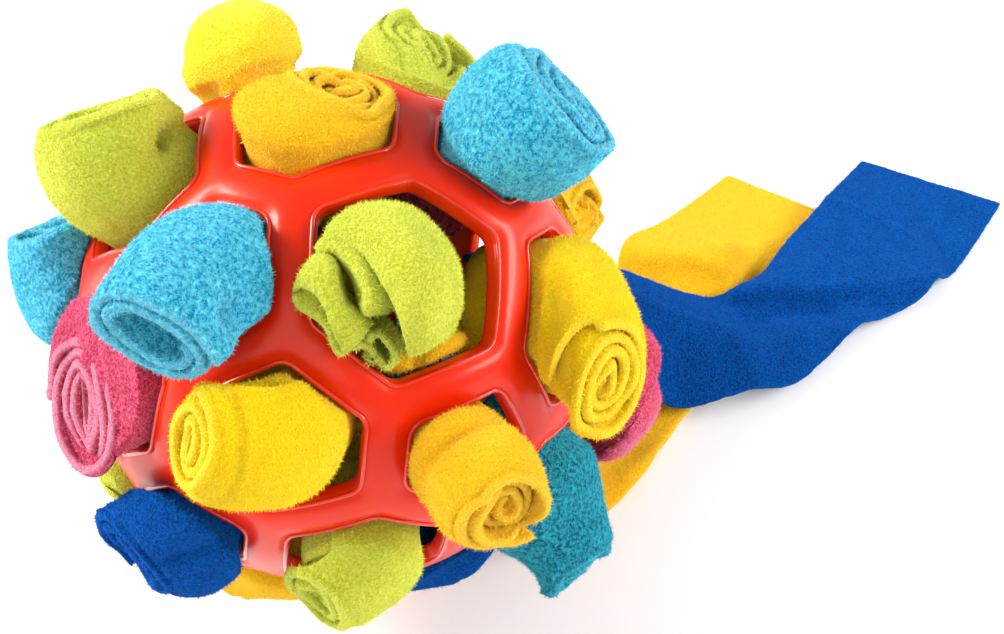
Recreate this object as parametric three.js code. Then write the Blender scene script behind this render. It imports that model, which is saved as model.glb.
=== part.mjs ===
// A treat-hiding toy for a dog: a soft rubber ball with a football pattern of hexagon and pentagon
// holes, each hole stuffed with a rolled-up strip of fleece. Two more strips are tucked in by one
// end and trail over the surface that the ball lies on.
//
// Millimetres, +Z up. The origin lies on that surface, straight under the middle of the ball,
// where the flattened end of the lowest roll stands. A hexagon hole faces straight up and another
// straight down. The front of the toy faces -Y.
import * as THREE from 'three';
import { mergeVertices } from 'three/addons/utils/BufferGeometryUtils.js';

// The rubber ball
const BALL_RADIUS = 60;
const BALL_HEIGHT = 76; // middle of the ball above the surface, on its squashed lower rolls
const WALL = 4.5;
const STRUT_WIDTH = 11; // rubber left between two holes
const RIM_ROUND = 2.2; // rounding along the outer edge of a hole
const CORNER_RADIUS = 4; // rounding in a hole's corners
const PENTAGON_SHARE = 0.32; // where a junction lies between two pentagon middles

// The fleece
const CLOTH = 2.6; // thickness
const ROLL_GAP = 0.95; // a roll's clearance from the rubber of its hole
const REST_GAP = 0.9; // a roll's clearance where it lies on the outside of the ball
const NECK_DEPTH = 12; // a slumped bundle narrows to its hole this far below the outside
const INNER_END = 40; // where the rolls end inside, from the middle of the ball
const NEST = 0.78; // the rolls' inner ends are pinched to this share of their width
const ROLL_POINTS = 17; // points round a roll

const COLOURS = {
  rubber: 0xe8401c,
  lime: 0xb5cf2c,
  gold: 0xf9b218,
  yellow: 0xf8d31c,
  cyan: 0x3fa9d4,
  teal: 0x2493b4,
  royal: 0x16419c,
  pink: 0xdc4070,
};

// The holes of one ring lie at the same angle from straight up. The pentagons sit on the corners
// of an icosahedron that stands on one face, and the hexagons on the middles of its faces.
const NEAR = 37.377;
const FAR = 79.188;
const HOLE_RINGS = [
  { sides: 6, polar: 0, azimuths: [0] },
  { sides: 5, polar: NEAR, azimuths: [0, 120, 240] },
  { sides: 6, polar: 41.81, azimuths: [60, 180, 300] },
  { sides: 6, polar: 70.529, azimuths: [22.24, 97.76, 142.24, 217.76, 262.24, 337.76] },
  { sides: 5, polar: FAR, azimuths: [60, 180, 300] },
  { sides: 5, polar: 180 - FAR, azimuths: [0, 120, 240] },
  { sides: 6, polar: 109.471, azimuths: [37.76, 82.24, 157.76, 202.24, 277.76, 322.24] },
  { sides: 6, polar: 138.19, azimuths: [0, 120, 240] },
  { sides: 5, polar: 180 - NEAR, azimuths: [60, 180, 300] },
  { sides: 6, polar: 180, azimuths: [0] },
];

// The stuffed cloth pushes some junctions of the soft rubber aside. A junction is named by the
// three holes that meet there, numbered in the order of HOLE_RINGS; shifts are in millimetres.
const PUSHED_JUNCTIONS = [
  { holes: [0, 1, 6], east: 0.5, north: 1 },
  { holes: [1, 6, 12], east: 3.5, north: -0.5 },
  { holes: [6, 12, 15], east: 3, north: -2.5 },
  { holes: [6, 11, 15], east: -1, north: -1.5 },
  { holes: [3, 6, 11], east: 0, north: -2 },
  { holes: [0, 3, 6], east: -1.5, north: 2.5 },
  { holes: [0, 3, 5], east: 2.5, north: 1 },
  { holes: [3, 10, 11], east: 1, north: -4 },
  { holes: [10, 11, 18], east: -3.5, north: -1.5 },
  { holes: [11, 18, 23], east: 0.5, north: 3 },
  { holes: [12, 15, 24], east: 2.5, north: -2.5 },
  { holes: [1, 7, 12], east: -1, north: 1.5 },
];

// One row per stuffed hole. wide and thick are the roll's oval in its hole, and turn swings the
// wide way from north towards east as seen from outside. flap is where the loose edge of the
// cloth lies round the roll, in degrees from the wide way. The outer end has an oval of its own.
// out is how far it stands off the ball, north and east how far it leans, and tipNorth and
// tipEast how many degrees its face is tipped. A round end is a fold that shows its back, a coil
// end shows the turns, a rosette end is pinched and ruffled, and a flat end stands on the surface.
const ROLLS = [
  {
    hole: 0, colour: 'gold', wide: 31, thick: 29, turn: 95, flap: 200, form: 'rosette',
    end: { wide: 28, thick: 23, out: 5, north: -3, east: 5, tipNorth: 0, tipEast: 12 },
  },
  {
    hole: 1, colour: 'cyan', wide: 28, thick: 28, turn: 110, flap: 250, form: 'coil',
    end: { wide: 31, thick: 29, out: 20, north: -4, east: -4, tipNorth: -10, tipEast: 0 },
  },
  {
    hole: 2, colour: 'yellow', wide: 29, thick: 28, turn: 90, flap: 40, form: 'round',
    end: { wide: 29, thick: 28, out: 15, north: -1, east: -1, tipNorth: 0, tipEast: 0 },
  },
  {
    hole: 3, colour: 'cyan', wide: 28, thick: 28, turn: 75, flap: 300, form: 'coil',
    end: { wide: 28, thick: 25, out: 18, north: -15, east: 4, tipNorth: -33, tipEast: 8 },
  },
  {
    hole: 4, colour: 'lime', wide: 31, thick: 28, turn: 60, flap: 150, form: 'rosette',
    end: { wide: 29, thick: 25, out: 10, north: -2, east: 5, tipNorth: 0, tipEast: -14 },
  },
  {
    hole: 5, colour: 'lime', wide: 31, thick: 29, turn: 20, flap: 320, form: 'coil',
    end: { wide: 30, thick: 27, out: 15, north: 3, east: 4, tipNorth: 0, tipEast: -6 },
  },
  {
    hole: 7, colour: 'gold', wide: 33, thick: 25, turn: 0, flap: 90, form: 'rosette',
    end: { wide: 20, thick: 18, out: 7, north: -9, east: -1, tipNorth: -12, tipEast: -8 },
  },
  {
    hole: 8, colour: 'cyan', wide: 31, thick: 28, turn: 70, flap: 10, form: 'coil',
    end: { wide: 27, thick: 20, out: 8, north: 2, east: 0, tipNorth: 0, tipEast: 0 },
  },
  {
    hole: 9, colour: 'yellow', wide: 31, thick: 28, turn: 30, flap: 160, form: 'round',
    end: { wide: 25, thick: 19, out: 15, north: -5, east: 10, tipNorth: -5, tipEast: 20 },
  },
  {
    hole: 10, colour: 'pink', wide: 33, thick: 28, turn: 5, flap: 200, form: 'coil',
    end: { wide: 33, thick: 22, out: 9, north: -9, east: 3, tipNorth: 0, tipEast: 0 },
  },
  {
    hole: 11, colour: 'yellow', wide: 31, thick: 34, turn: 350, flap: 70, form: 'coil',
    end: { wide: 28, thick: 21, out: 10, north: 4, east: -12, tipNorth: 0, tipEast: -38 },
  },
  {
    hole: 12, colour: 'yellow', wide: 35, thick: 26, turn: 10, flap: 30, form: 'coil',
    end: { wide: 26, thick: 22, out: 13, north: -7, east: -15, tipNorth: -12, tipEast: -22 },
  },
  {
    hole: 13, colour: 'pink', wide: 25, thick: 24, turn: 45, flap: 100, form: 'coil',
    end: { wide: 25, thick: 20, out: 8, north: 0, east: 0, tipNorth: 0, tipEast: 0 },
  },
  {
    hole: 14, colour: 'cyan', wide: 26, thick: 25, turn: 0, flap: 250, form: 'coil',
    end: { wide: 34, thick: 20, out: 14, north: 7, east: 0, tipNorth: 5, tipEast: 0 },
  },
  {
    hole: 15, colour: 'gold', wide: 29, thick: 28, turn: 40, flap: 330, form: 'rosette',
    end: { wide: 24, thick: 23, out: 19, north: -3, east: -1, tipNorth: -10, tipEast: 5 },
  },
  {
    hole: 16, colour: 'pink', wide: 25, thick: 25, turn: 30, flap: 120, form: 'round',
    end: { wide: 26, thick: 22, out: 15, north: -17, east: -11, tipNorth: -30, tipEast: -12 },
  },
  {
    hole: 17, colour: 'royal', wide: 25, thick: 24, turn: 80, flap: 60, form: 'coil',
    end: { wide: 27, thick: 20, out: 15, north: 0, east: 3, tipNorth: 0, tipEast: 5 },
  },
  {
    hole: 18, colour: 'royal', wide: 33, thick: 29, turn: 60, flap: 230, form: 'coil',
    end: { wide: 31, thick: 26, out: 10, north: -1, east: -12, tipNorth: 0, tipEast: -20 },
  },
  {
    hole: 20, colour: 'lime', wide: 31, thick: 28, turn: 15, flap: 300, form: 'coil',
    end: { wide: 27, thick: 21, out: 18, north: 2, east: -3, tipNorth: 5, tipEast: -5 },
  },
  {
    hole: 21, colour: 'gold', wide: 31, thick: 28, turn: 50, flap: 20, form: 'round',
    end: { wide: 27, thick: 20, out: 17, north: 0, east: 3, tipNorth: 0, tipEast: 5 },
  },
  {
    hole: 22, colour: 'lime', wide: 31, thick: 28, turn: 80, flap: 180, form: 'coil',
    end: { wide: 23, thick: 17, out: 4, north: -2, east: 6, tipNorth: 0, tipEast: 0 },
  },
  {
    hole: 23, colour: 'lime', wide: 31, thick: 29, turn: 80, flap: 260, form: 'coil',
    end: { wide: 29, thick: 25, out: 8, north: 0, east: -11, tipNorth: -8, tipEast: -25 },
  },
  {
    hole: 24, colour: 'teal', wide: 31, thick: 28, turn: 45, flap: 90, form: 'coil',
    end: { wide: 28, thick: 22, out: 17, north: -8, east: -8, tipNorth: -12, tipEast: -18 },
  },
  {
    hole: 26, colour: 'pink', wide: 31, thick: 28, turn: 30, flap: 340, form: 'coil',
    end: { wide: 26, thick: 20, out: 15, north: 3, east: 0, tipNorth: 5, tipEast: 0 },
  },
  {
    hole: 27, colour: 'gold', wide: 31, thick: 28, turn: 90, flap: 120, form: 'coil',
    end: { wide: 25, thick: 16, out: 5, north: 2, east: -13, tipNorth: 0, tipEast: -18 },
  },
  {
    hole: 28, colour: 'cyan', wide: 25, thick: 24, turn: 0, flap: 200, form: 'flat',
    end: { wide: 26, thick: 22, out: 28, north: 0, east: 0, tipNorth: 0, tipEast: 0 },
  },
  {
    hole: 29, colour: 'lime', wide: 25, thick: 24, turn: 60, flap: 20, form: 'flat',
    end: { wide: 26, thick: 22, out: 28, north: 0, east: 0, tipNorth: 0, tipEast: 0 },
  },
  {
    hole: 30, colour: 'royal', wide: 25, thick: 24, turn: 85, flap: 280, form: 'coil',
    end: { wide: 23, thick: 14, out: 3, north: 0, east: 11, tipNorth: 0, tipEast: 25 },
  },
  {
    hole: 31, colour: 'yellow', wide: 30, thick: 28, turn: 20, flap: 150, form: 'flat',
    end: { wide: 30, thick: 27, out: 16, north: 0, east: 0, tipNorth: 0, tipEast: 0 },
  },
];

// How a roll's outer end is closed: rings that step in from its edge, each a share of the oval's
// size and a height along the roll, and the height of the middle point.
const ROLL_ENDS = {
  coil: {
    rings: [{ share: 1, rise: -1.5 }, { share: 0.86, rise: 0 }, { share: 0.5, rise: -2.5 }],
    middle: -4,
  },
  rosette: {
    rings: [{ share: 1, rise: -4 }, { share: 0.8, rise: 0 }, { share: 0.4, rise: -1 }],
    middle: -5,
  },
  flat: {
    rings: [{ share: 1, rise: -1.5 }, { share: 0.9, rise: 0 }, { share: 0.5, rise: 0 }],
    middle: 0,
  },
  round: {
    rings: [{ share: 0.97, rise: -7 }, { share: 0.78, rise: -2 }, { share: 0.4, rise: 0 }],
    middle: 0.5,
  },
};

// Where a roll's sections lie: heights above the middle of the ball for those that keep inside the
// hole, and shares of the bent line from the rim to the outer end for those that lie outside.
const HOLE_HEIGHTS = [50, BALL_RADIUS - WALL, BALL_RADIUS + 0.5];
const OUTER_SHARES = [0.25, 0.6];

// The roll that has slumped inside the front hole: one fat fold of cloth, and a flatter curl that
// pokes out over the lower left rim. One row per section along the bundle, from its end deep
// inside, over the fold, to the curl. up is along the hole's middle line, and turn swings the
// section's wide way from north towards east.
const SLUMPED_ROLL = { hole: 6, colour: 'lime' };
const SLUMPED_SECTIONS = [
  { up: 37, north: -2, east: 2, wide: 20, thick: 18, turn: 0 },
  { up: 44, north: -1, east: 0, wide: 27, thick: 24, turn: 0 },
  { up: 51, north: -1, east: -2, wide: 29, thick: 26, turn: 0 },
  { up: 57, north: -1, east: -4, wide: 30, thick: 27, turn: 0 },
  { up: 60.5, north: -2, east: -7, wide: 29, thick: 23, turn: -8 },
  { up: 63, north: -4, east: -11, wide: 27, thick: 18, turn: -18 },
  { up: 65.8, north: -5, east: -16, wide: 24, thick: 12, turn: -28 },
  { up: 67.6, north: -6, east: -21, wide: 19, thick: 8, turn: -33 },
];

// The loose strips, one row per section, in place over the surface. middle is the middle of the
// section's chord, side goes from there to the left edge as the cloth is followed outwards, and
// arch is how far the middle of the cloth bulges off the chord.
const BLUE_STRIP = [
  { middle: [31, 29.3, 55.3], side: [-2.7, 8.3, 8.3], arch: [8.8, -6.2, 9] },
  { middle: [42, 38.3, 50.3], side: [-2.7, 8.3, 8.3], arch: [8.8, -6.2, 9] },
  { middle: [55, 46, 44], side: [-5.4, 11.2, 13], arch: [5, -3.5, 5] },
  { middle: [75, 49, 22], side: [-10.5, 14, 17], arch: [2, -1.5, 3] },
  { middle: [93, 55, 13.5], side: [-11, 16.5, 8.5], arch: [0, 0, 4] },
  { middle: [110, 61, 6], side: [-12.5, 17, 3.2], arch: [0, 0, 4] },
  { middle: [126, 67, 4.5], side: [-10, 15, 3], arch: [0, 0, 13] },
  { middle: [141, 85, 4.5], side: [-10, 20, 1.5], arch: [0, 0, 7] },
  { middle: [164, 108, 3.5], side: [-15, 20, 2], arch: [0, 0, 1.5] },
  { middle: [188, 141, 1.5], side: [-21, 13, 0], arch: [0, 0, 0] },
];
const YELLOW_STRIP = [
  { middle: [25, -1, 37], side: [0, 11.4, 0], arch: [10.4, 0, 9.3] },
  { middle: [36, -1, 25], side: [0, 11.4, 0], arch: [10.4, 0, 9.3] },
  { middle: [46, 4, 13], side: [-1, 14, 0], arch: [6, 0, 6] },
  { middle: [54, 15, 3], side: [-7, 18, 0], arch: [1, 0, 5] },
  { middle: [62, 31, 1.5], side: [-14, 18, 0], arch: [0, 0, 1] },
  { middle: [73, 51, 1.5], side: [-17, 16, 0], arch: [0, 0, 0] },
  { middle: [90, 74, 2], side: [-17, 16, 1.5], arch: [0, 0, 1] },
  { middle: [99, 92, 4.5], side: [-19, 12, 3], arch: [0, 0, 5] },
  { middle: [117, 112, 2], side: [-19, 14, 0.5], arch: [0, 0, 1] },
  { middle: [138, 134, 1.5], side: [-19, 14.5, 0], arch: [0, 0, 0] },
];
const STRIP_STEPS = 2; // sections drawn for each row above
const STRIP_SPANS = 8; // spans across a strip

const UP = new THREE.Vector3(0, 0, 1);
const BACK = new THREE.Vector3(0, 1, 0);

function material(colour, roughness) {
  return new THREE.MeshStandardMaterial({ color: COLOURS[colour], roughness, metalness: 0 });
}

function direction(polar, azimuth) {
  const p = THREE.MathUtils.degToRad(polar);
  const a = THREE.MathUtils.degToRad(azimuth);
  return new THREE.Vector3(Math.sin(p) * Math.cos(a), Math.sin(p) * Math.sin(a), Math.cos(p));
}

// East and north on the ball at a direction from its middle; at the poles north is the back.
function compass(along) {
  const north = (Math.abs(along.z) > 0.99 ? BACK : UP).clone().projectOnPlane(along).normalize();
  const east = north.clone().cross(along);
  return { along, north, east };
}

// Every hole as its middle line, its number of sides and the directions of its corners.
function layOutHoles() {
  const holes = HOLE_RINGS.flatMap(({ sides, polar, azimuths }) =>
    azimuths.map((azimuth) => ({ sides, ...compass(direction(polar, azimuth)), corners: [] })),
  );
  const nearest = (point, count) =>
    holes.map((hole, number) => ({ number, reach: hole.along.dot(point) }))
      .sort((a, b) => b.reach - a.reach)
      .slice(0, count)
      .map(({ number }) => number)
      .sort((a, b) => a - b);
  const pentagons = holes.filter((hole) => hole.sides === 5);
  const neighbourly = Math.cos(THREE.MathUtils.degToRad(70));
  for (const near of pentagons) {
    for (const far of pentagons) {
      if (near === far || near.along.dot(far.along) < neighbourly) continue;
      const junction = near.along.clone().lerp(far.along, PENTAGON_SHARE).normalize();
      const meeting = nearest(junction, 3);
      const push = PUSHED_JUNCTIONS.find((row) => row.holes.join() === meeting.join());
      if (push) {
        const { north, east } = compass(junction.clone());
        junction.addScaledVector(east, push.east / BALL_RADIUS);
        junction.addScaledVector(north, push.north / BALL_RADIUS).normalize();
      }
      for (const number of meeting) holes[number].corners.push(junction);
    }
  }
  for (const hole of holes) {
    const angle = (v) => Math.atan2(v.dot(hole.north), v.dot(hole.east));
    hole.corners.sort((a, b) => angle(a) - angle(b));
  }
  return holes;
}

// A hole's outline on the plane that touches the unit ball at its middle, moved in from the
// middle line of its struts.
function insetOutline(hole, inset) {
  const flat = hole.corners.map((corner) => {
    const onPlane = corner.clone().divideScalar(corner.dot(hole.along));
    return new THREE.Vector2(onPlane.dot(hole.east), onPlane.dot(hole.north));
  });
  const edges = flat.map((start, i) => {
    const run = flat[(i + 1) % flat.length].clone().sub(start).normalize();
    const outward = new THREE.Vector2(run.y, -run.x);
    return { outward, reach: outward.dot(start) - inset / BALL_RADIUS };
  });
  const corners = edges.map((edge, i) => {
    const before = edges[(i + edges.length - 1) % edges.length];
    const cross = before.outward.x * edge.outward.y - before.outward.y * edge.outward.x;
    return new THREE.Vector2(
      (before.reach * edge.outward.y - edge.reach * before.outward.y) / cross,
      (edge.reach * before.outward.x - before.reach * edge.outward.x) / cross,
    );
  });
  return { edges, corners };
}

// How far the rounding cuts into a corner, from half the corner's angle.
function cornerCut(half) {
  return (CORNER_RADIUS / BALL_RADIUS) * (1 / Math.sin(half) - 1);
}

// The edges that cloth in a hole stays within: the hole's own, and one across each corner.
function passage(hole) {
  const { edges, corners } = insetOutline(hole, STRUT_WIDTH / 2 + ROLL_GAP);
  const acrossCorners = corners.map((corner, i) => {
    const before = edges[(i + edges.length - 1) % edges.length].outward;
    const outward = before.clone().add(edges[i].outward).normalize();
    const half = (Math.PI - Math.acos(before.dot(edges[i].outward))) / 2;
    return { outward, reach: outward.dot(corner) - cornerCut(half) };
  });
  return [...edges, ...acrossCorners];
}

// Three directions for each corner of a hole's inset outline: where its rounding starts, its
// middle and where it ends.
function roundedRing(hole, inset) {
  const { corners } = insetOutline(hole, inset);
  const ring = [];
  corners.forEach((corner, i) => {
    const before = corners[(i + corners.length - 1) % corners.length].clone().sub(corner).normalize();
    const after = corners[(i + 1) % corners.length].clone().sub(corner).normalize();
    const half = Math.acos(THREE.MathUtils.clamp(before.dot(after), -1, 1)) / 2;
    const radius = CORNER_RADIUS / BALL_RADIUS;
    const cut = radius / Math.tan(half);
    const toCentre = before.clone().add(after).normalize();
    ring.push(corner.clone().addScaledVector(before, cut));
    ring.push(corner.clone().addScaledVector(toCentre, cornerCut(half)));
    ring.push(corner.clone().addScaledVector(after, cut));
  });
  return ring.map((point) =>
    hole.along.clone().addScaledVector(hole.east, point.x).addScaledVector(hole.north, point.y).normalize(),
  );
}

// The same three places on the middle line of the struts, which two holes share.
function sharedRing(hole) {
  const share = 0.2;
  return hole.corners.flatMap((corner, i) => {
    const before = hole.corners[(i + hole.corners.length - 1) % hole.corners.length];
    const after = hole.corners[(i + 1) % hole.corners.length];
    return [
      corner.clone().lerp(before, share).normalize(),
      corner.clone(),
      corner.clone().lerp(after, share).normalize(),
    ];
  });
}

function closedGeometry(points, faces) {
  const geometry = new THREE.BufferGeometry();
  const coordinates = points.flatMap((point) => point.toArray());
  geometry.setAttribute('position', new THREE.Float32BufferAttribute(coordinates, 3));
  geometry.setIndex(faces.flat());
  const merged = mergeVertices(geometry, 1e-3);
  merged.computeVertexNormals();
  return merged;
}

// The ball is one shell, made hole by hole: from the middle of the struts over the rounded rim,
// down the wall of the hole and back to the middle of the struts inside.
function ballGeometry(holes) {
  const inside = BALL_RADIUS - WALL;
  const points = [];
  const faces = [];
  for (const hole of holes) {
    const rings = [
      sharedRing(hole).map((d) => d.multiplyScalar(BALL_RADIUS)),
      roundedRing(hole, STRUT_WIDTH / 2 - RIM_ROUND).map((d) => d.multiplyScalar(BALL_RADIUS - 0.3)),
      roundedRing(hole, STRUT_WIDTH / 2).map((d) => d.multiplyScalar(BALL_RADIUS - RIM_ROUND)),
      roundedRing(hole, STRUT_WIDTH / 2 + 0.3).map((d) => d.multiplyScalar(inside + 0.5)),
      sharedRing(hole).map((d) => d.multiplyScalar(inside)),
    ];
    const around = rings[0].length;
    for (let ring = 0; ring + 1 < rings.length; ring++) {
      for (let i = 0; i < around; i++) {
        const a = points.length + ring * around + i;
        const b = points.length + ring * around + ((i + 1) % around);
        faces.push([a, b, b + around], [a, b + around, a + around]);
      }
    }
    points.push(...rings.flat());
  }
  return closedGeometry(points, faces);
}

// Moves a point of cloth sideways until it passes through its hole with some room.
function keepInHole(point, hole, edges) {
  const height = point.dot(hole.along);
  const across = new THREE.Vector2(point.dot(hole.east), point.dot(hole.north)).divideScalar(height);
  const shares = edges.map(({ outward, reach }) => reach / Math.max(across.dot(outward), reach));
  across.multiplyScalar(height * Math.min(...shares));
  return hole.along.clone().multiplyScalar(height)
    .addScaledVector(hole.east, across.x)
    .addScaledVector(hole.north, across.y);
}

// Cloth outside the ball lies against it and on the surface, and goes through neither.
function restOnSurroundings(point) {
  point.setLength(Math.max(point.length(), BALL_RADIUS + REST_GAP));
  point.z = Math.max(point.z, -BALL_HEIGHT);
  return point;
}

// A closed solid through rings of equally many points, with a middle point at each end.
function loftedGeometry(rings, startPoint, endPoint) {
  const around = rings[0].length;
  const points = [...rings.flat(), startPoint, endPoint];
  const start = points.length - 2;
  const end = points.length - 1;
  const faces = [];
  for (let i = 0; i < around; i++) {
    const j = (i + 1) % around;
    faces.push([start, j, i]);
    for (let ring = 0; ring + 1 < rings.length; ring++) {
      const a = ring * around + i;
      const b = ring * around + j;
      faces.push([a, b, b + around], [a, b + around, a + around]);
    }
    const last = (rings.length - 1) * around;
    faces.push([last + i, last + j, end]);
  }
  return closedGeometry(points, faces);
}

// One oval turn of cloth that ends in a step one cloth thickness high, where the loose edge lies.
function woundOval(centre, wideWay, thickWay, wide, thick, flap) {
  const step = CLOTH / (wide + thick);
  const lastTurn = 2 * Math.PI - 0.16;
  return Array.from({ length: ROLL_POINTS }, (_, i) => {
    const share = i / (ROLL_POINTS - 1);
    const angle = THREE.MathUtils.degToRad(flap) + lastTurn * share;
    const size = 1 + step * (2 * share - 1);
    return centre.clone()
      .addScaledVector(wideWay, (wide / 2) * size * Math.cos(angle))
      .addScaledVector(thickWay, (thick / 2) * size * Math.sin(angle));
  });
}

function rollGeometry(hole, roll) {
  const { along, north, east } = hole;
  const { end } = roll;
  const line = new THREE.QuadraticBezierCurve3(
    along.clone().multiplyScalar(BALL_RADIUS),
    along.clone().multiplyScalar(BALL_RADIUS + end.out / 2),
    along.clone().multiplyScalar(BALL_RADIUS + end.out)
      .addScaledVector(north, end.north)
      .addScaledVector(east, end.east),
  );
  const turn = THREE.MathUtils.degToRad(roll.turn);
  const wideAtHole = north.clone().multiplyScalar(Math.cos(turn)).addScaledVector(east, Math.sin(turn));
  const section = (centre, heading, wide, thick) => {
    const bend = new THREE.Quaternion().setFromUnitVectors(along, heading);
    const wideWay = wideAtHole.clone().applyQuaternion(bend);
    return woundOval(centre, wideWay, heading.clone().cross(wideWay), wide, thick, roll.flap);
  };
  const innerEnd = along.clone().multiplyScalar(INNER_END);
  const rings = [section(innerEnd, along, roll.wide * NEST, roll.thick * NEST)];
  const edges = passage(hole);
  for (const height of HOLE_HEIGHTS) {
    const ring = section(along.clone().multiplyScalar(height), along, roll.wide, roll.thick);
    rings.push(ring.map((point) => keepInHole(point, hole, edges)));
  }
  const headingAt = (share) => along.clone()
    .addScaledVector(north, share * Math.tan(THREE.MathUtils.degToRad(end.tipNorth)))
    .addScaledVector(east, share * Math.tan(THREE.MathUtils.degToRad(end.tipEast)))
    .normalize();
  const outside = (share, size, rise) => {
    const heading = headingAt(share);
    const grown = THREE.MathUtils.smoothstep(share, 0, 0.8);
    const wide = THREE.MathUtils.lerp(roll.wide, end.wide, grown) * size;
    const thick = THREE.MathUtils.lerp(roll.thick, end.thick, grown) * size;
    const centre = line.getPoint(share).addScaledVector(heading, rise);
    rings.push(section(centre, heading, wide, thick).map(restOnSurroundings));
  };
  for (const share of OUTER_SHARES) outside(share, 1, 0);
  const { rings: endRings, middle } = ROLL_ENDS[roll.form];
  for (const { share, rise } of endRings) outside(1, share, rise);
  const endPoint = line.getPoint(1).addScaledVector(headingAt(1), middle);
  return loftedGeometry(rings, innerEnd, restOnSurroundings(endPoint));
}

function slumpedGeometry(hole) {
  const { along, north, east } = hole;
  const edges = passage(hole);
  const centres = SLUMPED_SECTIONS.map((row) => along.clone().multiplyScalar(row.up)
    .addScaledVector(north, row.north)
    .addScaledVector(east, row.east));
  const line = new THREE.CatmullRomCurve3(centres);
  const rings = SLUMPED_SECTIONS.map((row, i) => {
    const heading = line.getTangent(i / (centres.length - 1)).normalize();
    const turn = THREE.MathUtils.degToRad(row.turn);
    const wideAim = north.clone().multiplyScalar(Math.cos(turn)).addScaledVector(east, Math.sin(turn));
    const wideWay = wideAim.projectOnPlane(heading).normalize();
    const thickWay = heading.clone().cross(wideWay);
    return woundOval(centres[i], wideWay, thickWay, row.wide, row.thick, 180).map((point) => {
      const height = point.length();
      if (height > BALL_RADIUS + REST_GAP) return point;
      return height > BALL_RADIUS - NECK_DEPTH ? keepInHole(point, hole, edges) : point;
    });
  });
  return loftedGeometry(rings, centres[0], centres.at(-1));
}

// A sheet of cloth on its rows of sections, thickened to both sides of its middle.
function stripGeometry(rows) {
  const curves = {};
  for (const column of ['middle', 'side', 'arch']) {
    curves[column] = new THREE.CatmullRomCurve3(rows.map((row) => new THREE.Vector3(...row[column])));
  }
  const steps = (rows.length - 1) * STRIP_STEPS;
  const place = (step, span) => {
    const share = step / steps;
    const across = 1 - (2 * span) / STRIP_SPANS;
    return curves.middle.getPoint(share)
      .addScaledVector(curves.side.getPoint(share), across)
      .addScaledVector(curves.arch.getPoint(share), 1 - across * across);
  };
  const clampTo = (value, top) => THREE.MathUtils.clamp(value, 0, top);
  const normal = (step, span) => {
    const ahead = place(clampTo(step + 1, steps), span).sub(place(clampTo(step - 1, steps), span));
    const leftward = place(step, clampTo(span - 1, STRIP_SPANS));
    const rightward = place(step, clampTo(span + 1, STRIP_SPANS));
    return rightward.sub(leftward).cross(ahead).normalize();
  };
  const row = STRIP_SPANS + 1;
  const points = [];
  for (const face of [1, -1]) {
    for (let step = 0; step <= steps; step++) {
      for (let span = 0; span <= STRIP_SPANS; span++) {
        const point = place(step, span).addScaledVector(normal(step, span), (face * CLOTH) / 2);
        const lowest = face > 0 ? CLOTH : 0;
        point.z = Math.max(point.z, lowest);
        points.push(point);
      }
    }
  }
  const under = (steps + 1) * row;
  const faces = [];
  const wall = (a, b) => faces.push([a, b, b + under], [a, b + under, a + under]);
  for (let step = 0; step < steps; step++) {
    for (let span = 0; span < STRIP_SPANS; span++) {
      const a = step * row + span;
      faces.push([a, a + 1, a + row + 1], [a, a + row + 1, a + row]);
      const b = a + under;
      faces.push([b, b + row + 1, b + 1], [b, b + row, b + row + 1]);
    }
    wall(step * row, (step + 1) * row);
    wall((step + 1) * row + STRIP_SPANS, step * row + STRIP_SPANS);
  }
  for (let span = 0; span < STRIP_SPANS; span++) {
    wall(span + 1, span);
    wall(steps * row + span, steps * row + span + 1);
  }
  return closedGeometry(points, faces);
}

function rollName({ hole, colour }) {
  return `roll_${String(hole).padStart(2, '0')}_${colour}`;
}

function named(name, geometry, finish) {
  const mesh = new THREE.Mesh(geometry, finish);
  mesh.name = name;
  return mesh;
}

const holes = layOutHoles();
const toy = new THREE.Group();

const ballGroup = new THREE.Group();
ballGroup.position.z = BALL_HEIGHT;
ballGroup.add(named('ball', ballGeometry(holes), material('rubber', 0.25)));
for (const roll of ROLLS) {
  const geometry = rollGeometry(holes[roll.hole], roll);
  ballGroup.add(named(rollName(roll), geometry, material(roll.colour, 0.95)));
}
const slumpedGeometryInHole = slumpedGeometry(holes[SLUMPED_ROLL.hole]);
ballGroup.add(named(rollName(SLUMPED_ROLL), slumpedGeometryInHole, material(SLUMPED_ROLL.colour, 0.95)));
toy.add(ballGroup);

toy.add(named('strip_royal', stripGeometry(BLUE_STRIP), material('royal', 0.95)));
toy.add(named('strip_gold', stripGeometry(YELLOW_STRIP), material('gold', 0.95)));

export default toy;
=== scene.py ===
# A treat-hiding toy for a dog: a soft rubber ball with a football pattern of holes, each stuffed
# with a rolled-up strip of fleece. Two more strips trail over the surface that the ball lies on.
# Shapes are worked out in millimetres from the middle of the ball or from the surface.
import math

import bmesh
import bpy
import numpy as np
from mathutils import Matrix


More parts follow.
